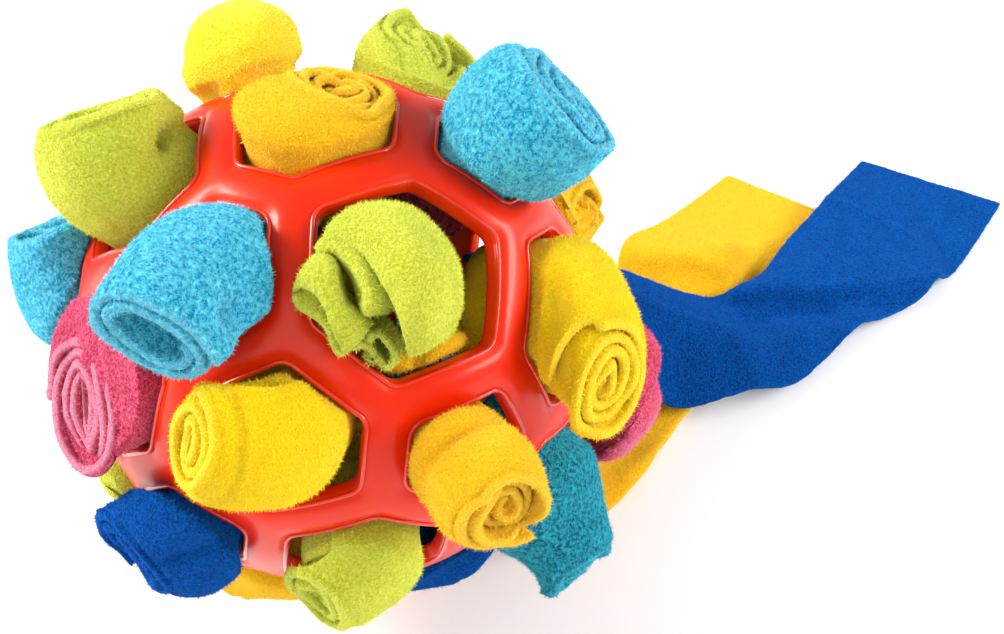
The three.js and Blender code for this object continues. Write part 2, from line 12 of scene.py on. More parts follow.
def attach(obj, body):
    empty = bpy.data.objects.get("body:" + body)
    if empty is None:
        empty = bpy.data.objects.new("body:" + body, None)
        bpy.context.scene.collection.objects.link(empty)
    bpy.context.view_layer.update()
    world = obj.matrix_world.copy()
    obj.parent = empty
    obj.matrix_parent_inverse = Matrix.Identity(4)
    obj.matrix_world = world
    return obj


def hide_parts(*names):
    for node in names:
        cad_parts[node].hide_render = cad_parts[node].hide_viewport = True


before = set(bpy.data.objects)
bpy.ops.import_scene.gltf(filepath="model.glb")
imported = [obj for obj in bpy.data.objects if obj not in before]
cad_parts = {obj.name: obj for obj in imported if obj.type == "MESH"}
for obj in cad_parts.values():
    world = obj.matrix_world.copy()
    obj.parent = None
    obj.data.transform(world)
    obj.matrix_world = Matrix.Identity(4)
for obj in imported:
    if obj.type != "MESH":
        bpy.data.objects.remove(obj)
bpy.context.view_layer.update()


# The ball: one moulded shell of soft orange-red rubber with hexagon and pentagon holes. Its struts
# are softly crowned and step down to every hole. The cloth pushes some junctions aside.
BALL_RADIUS = 60.0
BALL_MIDDLE = np.array([0.0, 0.0, 76.0])
WALL = 4.5
HALF_STRUT = 5.5
CORNER_RADIUS = 4.0
PENTAGON_SHARE = 0.32
HOLE_RINGS = [
    {"sides": 6, "polar": 0, "azimuths": [0]},
    {"sides": 5, "polar": 37.377, "azimuths": [0, 120, 240]},
    {"sides": 6, "polar": 41.81, "azimuths": [60, 180, 300]},
    {"sides": 6, "polar": 70.529, "azimuths": [22.24, 97.76, 142.24, 217.76, 262.24, 337.76]},
    {"sides": 5, "polar": 79.188, "azimuths": [60, 180, 300]},
    {"sides": 5, "polar": 100.812, "azimuths": [0, 120, 240]},
    {"sides": 6, "polar": 109.471, "azimuths": [37.76, 82.24, 157.76, 202.24, 277.76, 322.24]},
    {"sides": 6, "polar": 138.19, "azimuths": [0, 120, 240]},
    {"sides": 5, "polar": 142.623, "azimuths": [60, 180, 300]},
    {"sides": 6, "polar": 180, "azimuths": [0]},
]
# East and north push of the junction where three numbered holes meet.
PUSHED_JUNCTIONS = {
    (0, 1, 6): (0.5, 1),
    (1, 6, 12): (3.5, -0.5),
    (6, 12, 15): (3, -2.5),
    (6, 11, 15): (-1, -1.5),
    (3, 6, 11): (0, -2),
    (0, 3, 6): (-1.5, 2.5),
    (0, 3, 5): (2.5, 1),
    (3, 10, 11): (1, -4),
    (10, 11, 18): (-3.5, -1.5),
    (11, 18, 23): (0.5, 3),
    (12, 15, 24): (2.5, -2.5),
    (1, 7, 12): (-1, 1.5),
}
# The shell's section: distance from the middle line of a strut, and height over the ball.
STRUT_PROFILE = [
    (1.3, 0.12), (2.5, 0.0), (3.4, -0.25), (4.0, -0.55), (4.5, -0.72), (5.1, -0.8),
    (5.45, -1.15), (5.5, -2.0), (5.6, -3.4), (5.55, -4.1), (5.1, -4.45), (2.6, -4.5),
]
# How far the middle line of a strut stands out from the ball's radius.
STRUT_CREST = 0.15
SIDE_STEPS = 4
CORNER_STEPS = 8


def unit(vectors):
    return vectors / np.linalg.norm(vectors, axis=-1, keepdims=True)


def mix(start, end, share):
    return start + (end - start) * share


def smooth(share):
    share = np.clip(share, 0, 1)
    return share * share * (3 - 2 * share)


def compass(along):
    """North and east on the ball, at a direction from its middle."""
    up = np.array([0.0, 1.0, 0.0] if abs(along[2]) > 0.99 else [0.0, 0.0, 1.0])
    north = unit(up - along * (up @ along))
    return north, np.cross(north, along)


def lay_out_holes():
    holes = []
    for ring in HOLE_RINGS:
        polar = math.radians(ring["polar"])
        for azimuth in np.radians(ring["azimuths"]):
            along = np.array([math.sin(polar) * math.cos(azimuth),
                              math.sin(polar) * math.sin(azimuth), math.cos(polar)])
            north, east = compass(along)
            holes.append({"sides": ring["sides"], "along": along, "north": north, "east": east,
                          "corners": []})
    middles = np.array([hole["along"] for hole in holes])
    pentagons = [hole["along"] for hole in holes if hole["sides"] == 5]
    for near in pentagons:
        for far in pentagons:
            if near is far or near @ far < math.cos(math.radians(70)):
                continue
            junction = unit(mix(near, far, PENTAGON_SHARE))
            meeting = tuple(sorted(np.argsort(-middles @ junction)[:3].tolist()))
            if meeting in PUSHED_JUNCTIONS:
                push_east, push_north = PUSHED_JUNCTIONS[meeting]
                north, east = compass(junction)
                junction = unit(junction + (east * push_east + north * push_north) / BALL_RADIUS)
            for number in meeting:
                holes[number]["corners"].append(junction)
    for hole in holes:
        hole["corners"].sort(key=lambda c: math.atan2(c @ hole["north"], c @ hole["east"]))
        hole["corners"] = np.array(hole["corners"])
    return holes


def inset_outline(hole, inset):
    """The hole's outline on the plane that touches the unit ball, moved in from its struts."""
    on_plane = hole["corners"] / (hole["corners"] @ hole["along"])[:, None]
    flat = np.stack([on_plane @ hole["east"], on_plane @ hole["north"]], 1)
    run = unit(np.roll(flat, -1, 0) - flat)
    outward = np.stack([run[:, 1], -run[:, 0]], 1)
    reach = (outward * flat).sum(1) - inset / BALL_RADIUS
    before, reach_before = np.roll(outward, 1, 0), np.roll(reach, 1)
    cross = before[:, 0] * outward[:, 1] - before[:, 1] * outward[:, 0]
    x = (reach_before * outward[:, 1] - reach * before[:, 1]) / cross
    y = (reach * before[:, 0] - reach_before * outward[:, 0]) / cross
    return outward, reach, np.stack([x, y], 1)


def corner_steps(start, end, middle_before, middle_after, arc):
    """One corner's share of a ring: half a side, the rounded corner and half a side."""
    first = [mix(middle_before, start, i / SIDE_STEPS) for i in range(SIDE_STEPS)]
    last = [mix(end, middle_after, i / SIDE_STEPS) for i in range(1, SIDE_STEPS)]
    return first + arc + [end] + last


def rounded_ring(hole, inset):
    """Directions round a hole's outline with its corners rounded."""
    corners = inset_outline(hole, inset)[2]
    radius = CORNER_RADIUS / BALL_RADIUS
    points = []
    for i, corner in enumerate(corners):
        before = unit(corners[i - 1] - corner)
        after = unit(corners[(i + 1) % len(corners)] - corner)
        half = math.acos(np.clip(before @ after, -1, 1)) / 2
        start, end = corner + before * radius / math.tan(half), corner + after * radius / math.tan(half)
        centre = corner + unit(before + after) * radius / math.sin(half)
        arc = []
        for step in range(CORNER_STEPS):
            ray = mix(start - centre, end - centre, step / CORNER_STEPS)
            arc.append(centre + unit(ray) * radius)
        middle_before = (corner + corners[i - 1]) / 2
        middle_after = (corner + corners[(i + 1) % len(corners)]) / 2
        points += corner_steps(start, end, middle_before, middle_after, arc)
    points = np.array(points)
    return unit(hole["along"] + points[:, :1] * hole["east"] + points[:, 1:] * hole["north"])


def shared_ring(hole):
    """The same places on the middle line of the struts, which two holes share."""
    corners = hole["corners"]
    points = []
    for i, corner in enumerate(corners):
        before, after = corners[i - 1], corners[(i + 1) % len(corners)]
        start, end = mix(corner, before, 0.2), mix(corner, after, 0.2)
        arc = []
        for step in range(CORNER_STEPS):
            share = 2 * step / CORNER_STEPS
            arc.append(mix(start, corner, share) if share < 1 else mix(corner, end, share - 1))
        points += corner_steps(start, end, (corner + before) / 2, (corner + after) / 2, arc)
    return unit(np.array(points))


def mesh_piece(name, points, faces):
    """A smooth mesh object from millimetres, with its place in its mesh."""
    mesh = bpy.data.meshes.new(name)
    mesh.from_pydata((np.asarray(points) * 0.001).tolist(), [], [list(face) for face in faces])
    mesh.polygons.foreach_set("use_smooth", [True] * len(mesh.polygons))
    piece = bpy.data.objects.new(name, mesh)
    bpy.context.scene.collection.objects.link(piece)
    return piece


def band_faces(rings, around, start=0):
    """Faces between successive closed rings of equally many points."""
    i = np.arange(around)
    j = (i + 1) % around
    a = start + np.arange(rings - 1)[:, None] * around
    return np.stack([a + i, a + j, a + j + around, a + i + around], -1).reshape(-1, 4)


holes = lay_out_holes()
points, faces = [], []
total = 0
for hole in holes:
    rings = [shared_ring(hole) * (BALL_RADIUS + STRUT_CREST)]
    rings += [rounded_ring(hole, inset) * (BALL_RADIUS + height) for inset, height in STRUT_PROFILE]
    rings += [shared_ring(hole) * (BALL_RADIUS - WALL)]
    faces.append(band_faces(len(rings), len(rings[0]), total))
    points += rings
    total += sum(len(ring) for ring in rings)
points = np.concatenate(points)
kept, where = np.unique(np.round(points, 5), axis=0, return_inverse=True)
faces = where.reshape(-1)[np.concatenate(faces)]
ball = mesh_piece("rubber_ball", kept + BALL_MIDDLE, faces)
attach(ball, "root")
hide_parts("ball")


# The lip: a thin bead of the same rubber that stands up round the edge of every hole. It is
# moulded with the ball and follows each hole's outline.
LIP_INSET = 4.85
LIP_DEPTH = 0.75
LIP_RADIUS = 0.55
LIP_SIDES = 6


def group_input(tree, name, kind, value):
    socket = tree.interface.new_socket(name, in_out="INPUT", socket_type=kind)
    if value is not None:
        socket.default_value = value
    return socket.identifier


def lip_tree():
    """Geometry Nodes that sweep a round bead along every outline."""
    tree = bpy.data.node_groups.new("lip_round_holes", "GeometryNodeTree")
    tree.interface.new_socket("Outlines", in_out="INPUT", socket_type="NodeSocketGeometry")
    radius = group_input(tree, "Lip radius", "NodeSocketFloat", LIP_RADIUS * 0.001)
    finish = group_input(tree, "Rubber", "NodeSocketMaterial", None)
    tree.interface.new_socket("Lips", in_out="OUTPUT", socket_type="NodeSocketGeometry")
    add, link = tree.nodes.new, tree.links.new
    given, result = add("NodeGroupInput"), add("NodeGroupOutput")
    path = add("GeometryNodeMeshToCurve")
    section = add("GeometryNodeCurvePrimitiveCircle")
    section.inputs["Resolution"].default_value = LIP_SIDES
    sweep = add("GeometryNodeCurveToMesh")
    smooth_faces = add("GeometryNodeSetShadeSmooth")
    realize = add("GeometryNodeRealizeInstances")
    paint = add("GeometryNodeSetMaterial")
    link(given.outputs["Outlines"], path.inputs["Mesh"])
    link(given.outputs["Lip radius"], section.inputs["Radius"])
    link(path.outputs[0], sweep.inputs["Curve"])
    link(section.outputs[0], sweep.inputs["Profile Curve"])
    link(sweep.outputs[0], smooth_faces.inputs["Geometry"])
    link(smooth_faces.outputs[0], realize.inputs["Geometry"])
    link(realize.outputs[0], paint.inputs["Geometry"])
    link(given.outputs["Rubber"], paint.inputs["Material"])
    link(paint.outputs[0], result.inputs["Lips"])
    return tree, radius, finish


def settled(piece):
    """The piece as a plain mesh, with its modifiers worked out and removed."""
    depsgraph = bpy.context.evaluated_depsgraph_get()
    mesh = bpy.data.meshes.new_from_object(piece.evaluated_get(depsgraph))
    piece.modifiers.clear()
    piece.data = mesh
    return piece


class Wire:
    """A value between shader nodes, so that shader maths reads as arithmetic."""

    def __init__(self, finish, socket):
        self.finish = finish
        self.socket = socket

    def maths(self, operation, left, right):
        return self.finish.node("Math", {"operation": operation}, {0: left, 1: right})

    def __add__(self, other):
        return self.maths("ADD", self, other)

    __radd__ = __add__

    def __mul__(self, other):
        return self.maths("MULTIPLY", self, other)

    __rmul__ = __mul__

    def __sub__(self, other):
        return self.maths("SUBTRACT", self, other)

    def __rsub__(self, other):
        return self.maths("SUBTRACT", other, self)


class Finish:
    """A material whose nodes are added one call at a time."""

    def __init__(self, name):
        self.material = bpy.data.materials.new(name)
        self.material.use_nodes = True
        self.tree = self.material.node_tree
        self.tree.nodes.clear()

    def node(self, kind, settings=None, inputs=None, output=0):
        """Adds one shader node with its settings, plugs its inputs and gives one output."""
        node = self.tree.nodes.new("ShaderNode" + kind)
        for key, value in (settings or {}).items():
            if key == "stops":
                for i, (place, grey) in enumerate(value):
                    stop = node.color_ramp.elements[i] if i < 2 else node.color_ramp.elements.new(place)
                    stop.position = place
                    stop.color = (grey, grey, grey, 1)
            else:
                setattr(node, key, value)
        for key, value in (inputs or {}).items():
            if isinstance(value, Wire):
                self.tree.links.new(value.socket, node.inputs[key])
            elif isinstance(value, tuple) and len(value) == 3 and node.inputs[key].type == "RGBA":
                node.inputs[key].default_value = (*value, 1)
            else:
                node.inputs[key].default_value = value
        return Wire(self, node.outputs[output])

    def noise(self, where, size, detail=2.0, roughness=0.5):
        """Soft mottling from 0 to 1, with lumps of a size in millimetres."""
        inputs = {"Vector": where, "Scale": 1000.0 / size, "Detail": detail, "Roughness": roughness}
        return self.node("TexNoise", None, inputs)

    def blend(self, factor, first, second):
        """A colour between two."""
        inputs = {0: factor, 6: first, 7: second}
        return self.node("Mix", {"data_type": "RGBA"}, inputs, 2)

    def done(self, surface):
        output = self.tree.nodes.new("ShaderNodeOutputMaterial")
        self.tree.links.new(surface.socket, output.inputs["Surface"])
        return self.material


def linear(code):
    """A colour code as linear red, green and blue."""
    channels = [int(code[i:i + 2], 16) / 255 for i in (0, 2, 4)]
    return tuple(c / 12.92 if c < 0.04045 else ((c + 0.055) / 1.055) ** 2.4 for c in channels)


def rubber_finish(name, gloss, blur):
    """Satin orange-red rubber with a little unevenness in its gloss."""
    finish = Finish(name)
    where = finish.node("TexCoord", None, None, 3)
    cloudy = finish.noise(where, 26, 3)
    fine = finish.noise(where, 1.1, 3)
    colour = finish.blend(cloudy, linear("d41400"), linear("e62e00"))
    bump = finish.node("Bump", None, {"Height": fine, "Strength": 0.06, "Distance": 0.0003})
    skin = finish.node("BsdfPrincipled", None, {
        "Base Color": colour,
        "Roughness": 0.3 + 0.12 * cloudy,
        "Normal": bump,
        "Subsurface Weight": 0.12,
        "Subsurface Radius": (0.004, 0.0009, 0.0004),
        "Subsurface Scale": 1.0,
        "Specular IOR Level": 0.35,
        "Specular Tint": (1.0, 0.55, 0.4, 1.0),
        "Coat Weight": gloss,
        "Coat Roughness": blur,
    })
    return finish.done(skin)


ball.data.materials.append(rubber_finish("moulded_rubber", 0.22, 0.17))
tree, radius_input, finish_input = lip_tree()
points, edges = [], []
for hole in holes:
    ring = rounded_ring(hole, LIP_INSET) * (BALL_RADIUS - LIP_DEPTH) + BALL_MIDDLE
    first = len(points)
    points += (ring * 0.001).tolist()
    edges += [(first + i, first + (i + 1) % len(ring)) for i in range(len(ring))]
outlines = bpy.data.meshes.new("hole_lips")
outlines.from_pydata(points, edges, [])
lips = bpy.data.objects.new("hole_lips", outlines)
bpy.context.scene.collection.objects.link(lips)
modifier = lips.modifiers.new("lips", "NODES")
modifier.node_group = tree
modifier[radius_input] = LIP_RADIUS * 0.001
modifier[finish_input] = rubber_finish("lip_rubber", 1.0, 0.1)
settled(lips)
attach(lips, "root")


# The rolls: strips of thick cut fleece, each wound up tightly and stuffed end first into a hole.
# The cloth springs open outside the hole, and its layers show at the end. Nothing holds it but
# the hole.
CLOTH = 2.6
# The usual distance from one turn of a roll to the next, and how uneven its side is.
PITCH = 2.95
UNEVEN = 0.045
# How uneven the layers end, and how deep the middle of the coil lies, in millimetres.
RAGGED = {"coil": 0.8, "rosette": 1.6, "round": 0.5, "flat": 0.2}
DISHED = {"coil": 2.2, "rosette": 2.5, "round": 0.0, "flat": 0.0}
# wide and thick are a roll's oval in its hole, swung by turn from north towards east, and flap is
# where the free edge lies round it. end is the oval at the outer end, out how far it stands off the
# ball, lean how far it leans north and east, and tip how its face is tipped, in degrees. seat shifts
# the roll north and east in its hole, deepest is where it begins, and swell fattens it on the way.
# hand, pitch, open, setback, ragged, dish and lift shape the coil at the end, twist swings it, and
# dents press the side in. finish names a paler copy of a cloth, a painted highlight for a roll that
# strong light washes out. The ends follow the photograph, and they lie up to 12 mm off those of the solids.
ROLLS = [
    {"hole": 0, "colour": "gold", "wide": 31, "thick": 29, "turn": 86, "flap": 86,
     "form": "rosette", "end": (27, 22), "out": 7, "lean": (-1, 7), "tip": (12, 15),
     "swell": 3, "dish": 1.0},
    {"hole": 1, "colour": "cyan", "wide": 28, "thick": 28, "turn": 23, "flap": 266,
     "form": "coil", "end": (31, 27), "out": 23, "lean": (-3, -2), "tip": (-13, 8),
     "dish": -2.0, "lift": 1.2, "swell": 2, "deepest": 46},
    # This roll wears a paler copy of the yellow fleece: a painted highlight.
    {"hole": 2, "colour": "yellow", "wide": 27, "thick": 27, "turn": 77, "flap": 242,
     "form": "round", "end": (27, 27), "out": 18, "lean": (0, -1), "tip": (0, 0),
     "swell": 0.5, "finish": "lemon"},
    {"hole": 3, "colour": "cyan", "wide": 26, "thick": 25, "turn": 132, "flap": 26,
     "form": "coil", "end": (27, 18), "out": 14, "lean": (-19, 3), "tip": (-50, 29),
     "hand": -1, "pitch": 2.6, "swell": 0, "seat": (-1.5, 2.5), "lift": 1.0, "open": 4, "dish": 3.2,
     "dents": [{"at": 48, "ahead": 9, "width": 3.5, "length": 3, "deep": 4.5}]},
    {"hole": 4, "colour": "lime", "wide": 31, "thick": 28, "turn": 71, "flap": 264,
     "form": "coil", "end": (28, 24), "out": 8, "lean": (-4, 1), "tip": (21, -40),
     "swell": 2, "ragged": 2.4, "dish": 0.5, "pitch": 3.3},
    {"hole": 5, "colour": "lime", "wide": 31, "thick": 29, "turn": 172, "flap": 298,
     "form": "coil", "end": (29, 24), "out": 16, "lean": (8, -1), "tip": (25, -26),
     "swell": 4,
     "dents": [{"at": 159, "ahead": 15, "width": 3, "length": 4, "deep": 6}]},
    {"hole": 7, "colour": "gold", "wide": 33, "thick": 25, "turn": 80, "flap": 150,
     "form": "rosette", "end": (20, 18), "out": 4, "lean": (-10, -1), "tip": (14, -50)},
    {"hole": 8, "colour": "cyan", "wide": 31, "thick": 28, "turn": 70, "flap": 10,
     "form": "coil", "end": (27, 20), "out": 8, "lean": (2, 0), "tip": (0, 0)},
    {"hole": 9, "colour": "yellow", "wide": 31, "thick": 28, "turn": 30, "flap": 160,
     "form": "round", "end": (25, 19), "out": 15, "lean": (-5, 10), "tip": (-5, 20)},
    {"hole": 10, "colour": "pink", "wide": 33, "thick": 28, "turn": 144, "flap": 258,
     "form": "coil", "end": (31, 20), "out": 6, "lean": (-6, 2), "tip": (16, 12),
     "swell": 1.5, "pitch": 2.4, "dish": 1.0},
    {"hole": 11, "colour": "yellow", "wide": 29, "thick": 27, "turn": 5, "flap": 340,
     "form": "coil", "end": (26, 20), "out": 10, "lean": (5, -14), "tip": (16, -36),
     "swell": 0, "seat": (3, 0), "setback": 3.5, "pitch": 2.7, "dish": 1.0},
    {"hole": 12, "colour": "yellow", "wide": 35, "thick": 26, "turn": 55, "flap": 40,
     "form": "coil", "end": (26, 22), "out": 13, "lean": (-6, -15), "tip": (0, -25),
     "swell": 4, "seat": (0.5, -1.5), "twist": 100, "dish": 0.5,
     "dents": [{"at": 78, "ahead": 15, "width": 4, "length": 5, "deep": 2}]},
    {"hole": 13, "colour": "pink", "wide": 25, "thick": 24, "turn": 45, "flap": 100,
     "form": "coil", "end": (25, 20), "out": 8, "lean": (0, 0), "tip": (0, 0)},
    {"hole": 14, "colour": "cyan", "wide": 26, "thick": 25, "turn": 170, "flap": 320,
     "form": "coil", "end": (24, 15), "out": 8, "lean": (17, -3), "tip": (58, -35),
     "swell": 3},
    {"hole": 15, "colour": "gold", "wide": 22, "thick": 22, "turn": 31, "flap": 228,
     "form": "rosette", "end": (24, 23), "out": 20, "lean": (-3, -1), "tip": (-6, -7),
     "swell": 0.5, "seat": (3, -2.5),
     "dents": [{"at": 51, "ahead": 13, "width": 9, "length": 1.6, "deep": 2.8}]},
    {"hole": 16, "colour": "pink", "wide": 25, "thick": 25, "turn": 55, "flap": 292,
     "form": "round", "end": (28, 24), "out": 16, "lean": (-16, -9), "tip": (-30, -12)},
    {"hole": 17, "colour": "royal", "wide": 25, "thick": 24, "turn": 80, "flap": 60,
     "form": "coil", "end": (27, 20), "out": 15, "lean": (0, 3), "tip": (0, 5)},
    {"hole": 18, "colour": "royal", "wide": 28, "thick": 27, "turn": 149, "flap": 296,
     "form": "coil", "end": (26, 20), "out": 11, "lean": (-2, -10), "tip": (1, -14),
     "swell": 3, "seat": (3.5, 2.5),
     "dents": [{"at": 93, "ahead": 10, "width": 2.6, "length": 7, "deep": 5}]},
    {"hole": 20, "colour": "lime", "wide": 31, "thick": 28, "turn": 15, "flap": 300,
     "form": "coil", "end": (27, 21), "out": 18, "lean": (2, -3), "tip": (5, -5)},
    {"hole": 21, "colour": "gold", "wide": 31, "thick": 28, "turn": 50, "flap": 20,
     "form": "round", "end": (27, 20), "out": 17, "lean": (0, 3), "tip": (0, 5)},
    {"hole": 22, "colour": "lime", "wide": 31, "thick": 28, "turn": 80, "flap": 180,
     "form": "coil", "end": (23, 17), "out": 4, "lean": (-2, 6), "tip": (0, 0)},
    {"hole": 23, "colour": "lime", "wide": 27, "thick": 25, "turn": 134, "flap": 154,
     "form": "coil", "end": (21, 16), "out": 6, "lean": (1, -13), "tip": (11, -36),
     "swell": 0, "seat": (3, -2), "open": 1.0},
    {"hole": 24, "colour": "teal", "wide": 31, "thick": 28, "turn": 82, "flap": 292,
     "form": "coil", "end": (21, 16), "out": 20, "lean": (-8, -5), "tip": (-5, -13),
     "swell": 1},
    {"hole": 26, "colour": "pink", "wide": 31, "thick": 28, "turn": 30, "flap": 340,
     "form": "coil", "end": (26, 20), "out": 15, "lean": (3, 0), "tip": (5, 0)},
    {"hole": 27, "colour": "gold", "wide": 31, "thick": 28, "turn": 90, "flap": 120,
     "form": "coil", "end": (28, 16), "out": 5, "lean": (3, -17), "tip": (0, -18)},
    {"hole": 28, "colour": "cyan", "wide": 25, "thick": 24, "turn": 0, "flap": 200,
     "form": "flat", "end": (26, 22), "out": 28, "lean": (0, 0), "tip": (0, 0)},
    {"hole": 29, "colour": "lime", "wide": 25, "thick": 24, "turn": 60, "flap": 20,
     "form": "flat", "end": (26, 22), "out": 28, "lean": (0, 0), "tip": (0, 0)},
    {"hole": 30, "colour": "royal", "wide": 25, "thick": 24, "turn": 85, "flap": 280,
     "form": "coil", "end": (27, 14), "out": 4, "lean": (0, 16), "tip": (0, 25)},
    {"hole": 31, "colour": "yellow", "wide": 30, "thick": 28, "turn": 20, "flap": 150,
     "form": "flat", "end": (30, 27), "out": 16, "lean": (0, 0), "tip": (0, 0)},
]
# The rolls that show best have their points closer together.
SEEN = {0, 1, 2, 3, 4, 5, 7, 10, 11, 12, 14, 15, 16, 18, 23, 24}
# The rolls run inside the ball through these distances from its middle, pinched at the first.
INSIDE_HEIGHTS = (40.0, 44.0, 48.0, 52.0, 55.0, 57.5, 59.0)
INNER_PINCH = 0.9
FINE_STEP = 0.85
COARSE_STEP = 1.5


def lumps(points, size, seed):
    """Smooth random lumps from -1 to 1, of a size in the units of the points."""
    lattice = np.random.RandomState(seed).uniform(-1, 1, (32, 32, 32))
    place = np.asarray(points) / size + 100.0
    low = np.floor(place).astype(int)
    part = place - low
    part = part * part * (3 - 2 * part)
    total = 0
    for corner in range(8):
        bits = np.array([corner & 1, corner >> 1 & 1, corner >> 2 & 1])
        cell = (low + bits) % 32
        weight = np.where(bits, part, 1 - part).prod(-1)
        total = total + weight * lattice[cell[..., 0], cell[..., 1], cell[..., 2]]
    return total * 1.6


def passage(hole, gap):
    """The edges that cloth in a hole stays within: the hole's own, and one across each corner."""
    outward, reach, corners = inset_outline(hole, HALF_STRUT + gap)
    before = np.roll(outward, 1, 0)
    across = unit(before + outward)
    half = (math.pi - np.arccos(np.clip((before * outward).sum(1), -1, 1))) / 2
    cut = (CORNER_RADIUS / BALL_RADIUS) * (1 / np.sin(half) - 1)
    return np.concatenate([outward, across]), np.concatenate([reach, (across * corners).sum(1) - cut])


def share_inside(points, hole, edges):
    """How much points must shrink towards the hole's middle line to pass through it."""
    height = points @ hole["along"]
    across = np.stack([points @ hole["east"], points @ hole["north"]], -1) / height[..., None]
    outward, reach = edges
    need = across @ outward.T
    return (reach / np.maximum(need, reach)).min(-1)


def stations(roll, hole):
    """Rows along a roll, from deep in the ball to its outer end: middle, heading, oval and share."""
    along, north, east = hole["along"], hole["north"], hole["east"]
    lean_north, lean_east = roll["lean"]
    step = FINE_STEP if roll["hole"] in SEEN else COARSE_STEP
    seat_north, seat_east = roll.get("seat", (0, 0))
    aside = north * seat_north + east * seat_east
    bottom = along * BALL_RADIUS + aside
    bend = along * (BALL_RADIUS + roll["out"] / 2) + aside / 2
    top = along * (BALL_RADIUS + roll["out"]) + north * lean_north + east * lean_east
    tip_north, tip_east = np.tan(np.radians(roll["tip"]))
    rows = []
    for height in INSIDE_HEIGHTS:
        if height < roll.get("deepest", INSIDE_HEIGHTS[0]):
            continue
        nest = mix(INNER_PINCH, 1.0, min(1, (height - INSIDE_HEIGHTS[0]) / 10))
        oval = (roll["wide"] * nest, roll["thick"] * nest)
        middle = along * height + aside * smooth((height - 42) / 14)
        rows.append({"middle": middle, "heading": along, "oval": oval,
                     "share": 0.0, "inside": smooth((height - 44) / 6)})
    count = max(6, round(np.linalg.norm(top - bottom) / step))
    for i in range(1, count + 1):
        share = i / count
        middle = bottom * (1 - share) ** 2 + bend * 2 * share * (1 - share) + top * share ** 2
        grown = smooth(share / 0.8)
        swell = roll.get("swell", 1.2) * math.sin(math.pi * min(1, share * 1.1)) ** 0.8
        oval = (mix(roll["wide"], roll["end"][0], grown) + swell,
                mix(roll["thick"], roll["end"][1], grown) + swell)
        heading = unit(along + (north * tip_north + east * tip_east) * share)
        rows.append({"middle": middle, "heading": heading, "oval": oval, "share": share,
                     "inside": 1 - smooth(share * roll["out"] / 3)})
    return rows


def resample(rows, shares):
    """A smooth run through rows of points, at shares from 0 to 1."""
    rows = np.asarray(rows, float)
    place = np.asarray(shares, float) * (len(rows) - 1)
    at = np.minimum(place.astype(int), len(rows) - 2)
    part = (place - at).reshape((-1,) + (1,) * (rows.ndim - 1))
    longer = np.concatenate([2 * rows[:1] - rows[1:2], rows, 2 * rows[-1:] - rows[-2:-1]])
    before, here, there, after = longer[at], longer[at + 1], longer[at + 2], longer[at + 3]
    return 0.5 * (2 * here + (there - before) * part
                  + (2 * before - 5 * here + 4 * there - after) * part ** 2
                  + (3 * here - before - 3 * there + after) * part ** 3)


def cut_edge(distance):
    """The share of the cloth's thickness left at a distance from a cut edge: the pile rounds it."""
    part = np.clip(distance / (CLOTH * 0.55), 0, 1)
    return 0.25 + 0.75 * np.sqrt(1 - (1 - part) ** 2)


def spaced(length, step):
    """Distances along a length, closer together at both cut edges."""
    edge = np.array([0, 0.2, 0.5, 1.0, 1.6])
    middle = np.linspace(2.4, length - 2.4, max(3, round((length - 4.8) / step)))
    return np.concatenate([edge, middle, (length - edge)[::-1]])


def grid_normals(grid):
    """Outward normals of stacked closed rings of points."""
    along_ring = np.roll(grid, -1, 1) - np.roll(grid, 1, 1)
    return unit(np.cross(along_ring, np.gradient(grid, axis=0)) + 1e-9)


def closed_grid(grid):
    """Faces over stacked closed rings, with both ends closed across the cloth's thickness."""
    rings, around = grid.shape[:2]
    faces = band_faces(rings, around).tolist()
    top = (rings - 1) * around
    for i in range(around // 2 - 1):
        j = around - 1 - i
        faces.append([i + 1, i, j, j - 1])
        faces.append([top + i, top + i + 1, top + j - 1, top + j])
    return faces


# How far the soft lumps of the pile rise, in millimetres, on smooth and on nappy fleece.
PILE_RELIEF = 0.07
NAPPY_RELIEF = 0.13


def with_pile(grid, depth=PILE_RELIEF):
    """The cloth's surface, lifted in small soft lumps as brushed fleece is."""
    coarse, fine = lumps(grid, 2.6, 5), lumps(grid, 1.5, 6)
    return grid + grid_normals(grid) * (depth * (0.6 * coarse + 0.7 * fine))[..., None]


def winding(roll, narrow, girth, pitch):
    """Places along a roll's strip from its inner end to its free edge, and the lengths to that edge.

    Places are turns, counted from the covered start of the outer turn.
    """
    step = FINE_STEP * 1.25 if roll["hole"] in SEEN else COARSE_STEP
    inner_turns = (narrow / 2 - 1.0 - roll.get("open", 0)) / pitch - 0.5
    turns, lengths = [1.0], [0.0]
    edge = [0.2, 0.5, 1.0, 1.6]
    while turns[-1] > -inner_turns:
        round_trip = math.pi * max(4.0, girth - 2 * pitch * (0.5 - turns[-1]))
        if lengths[-1] < 1.6:
            forward = edge[len(lengths) - 1] - lengths[-1]
        else:
            forward = step * (1.0 if turns[-1] > -0.1 else 1.3)
        turns.append(turns[-1] - forward / round_trip)
        lengths.append(lengths[-1] + forward)
    return np.array(turns[::-1]), np.array(lengths[::-1])


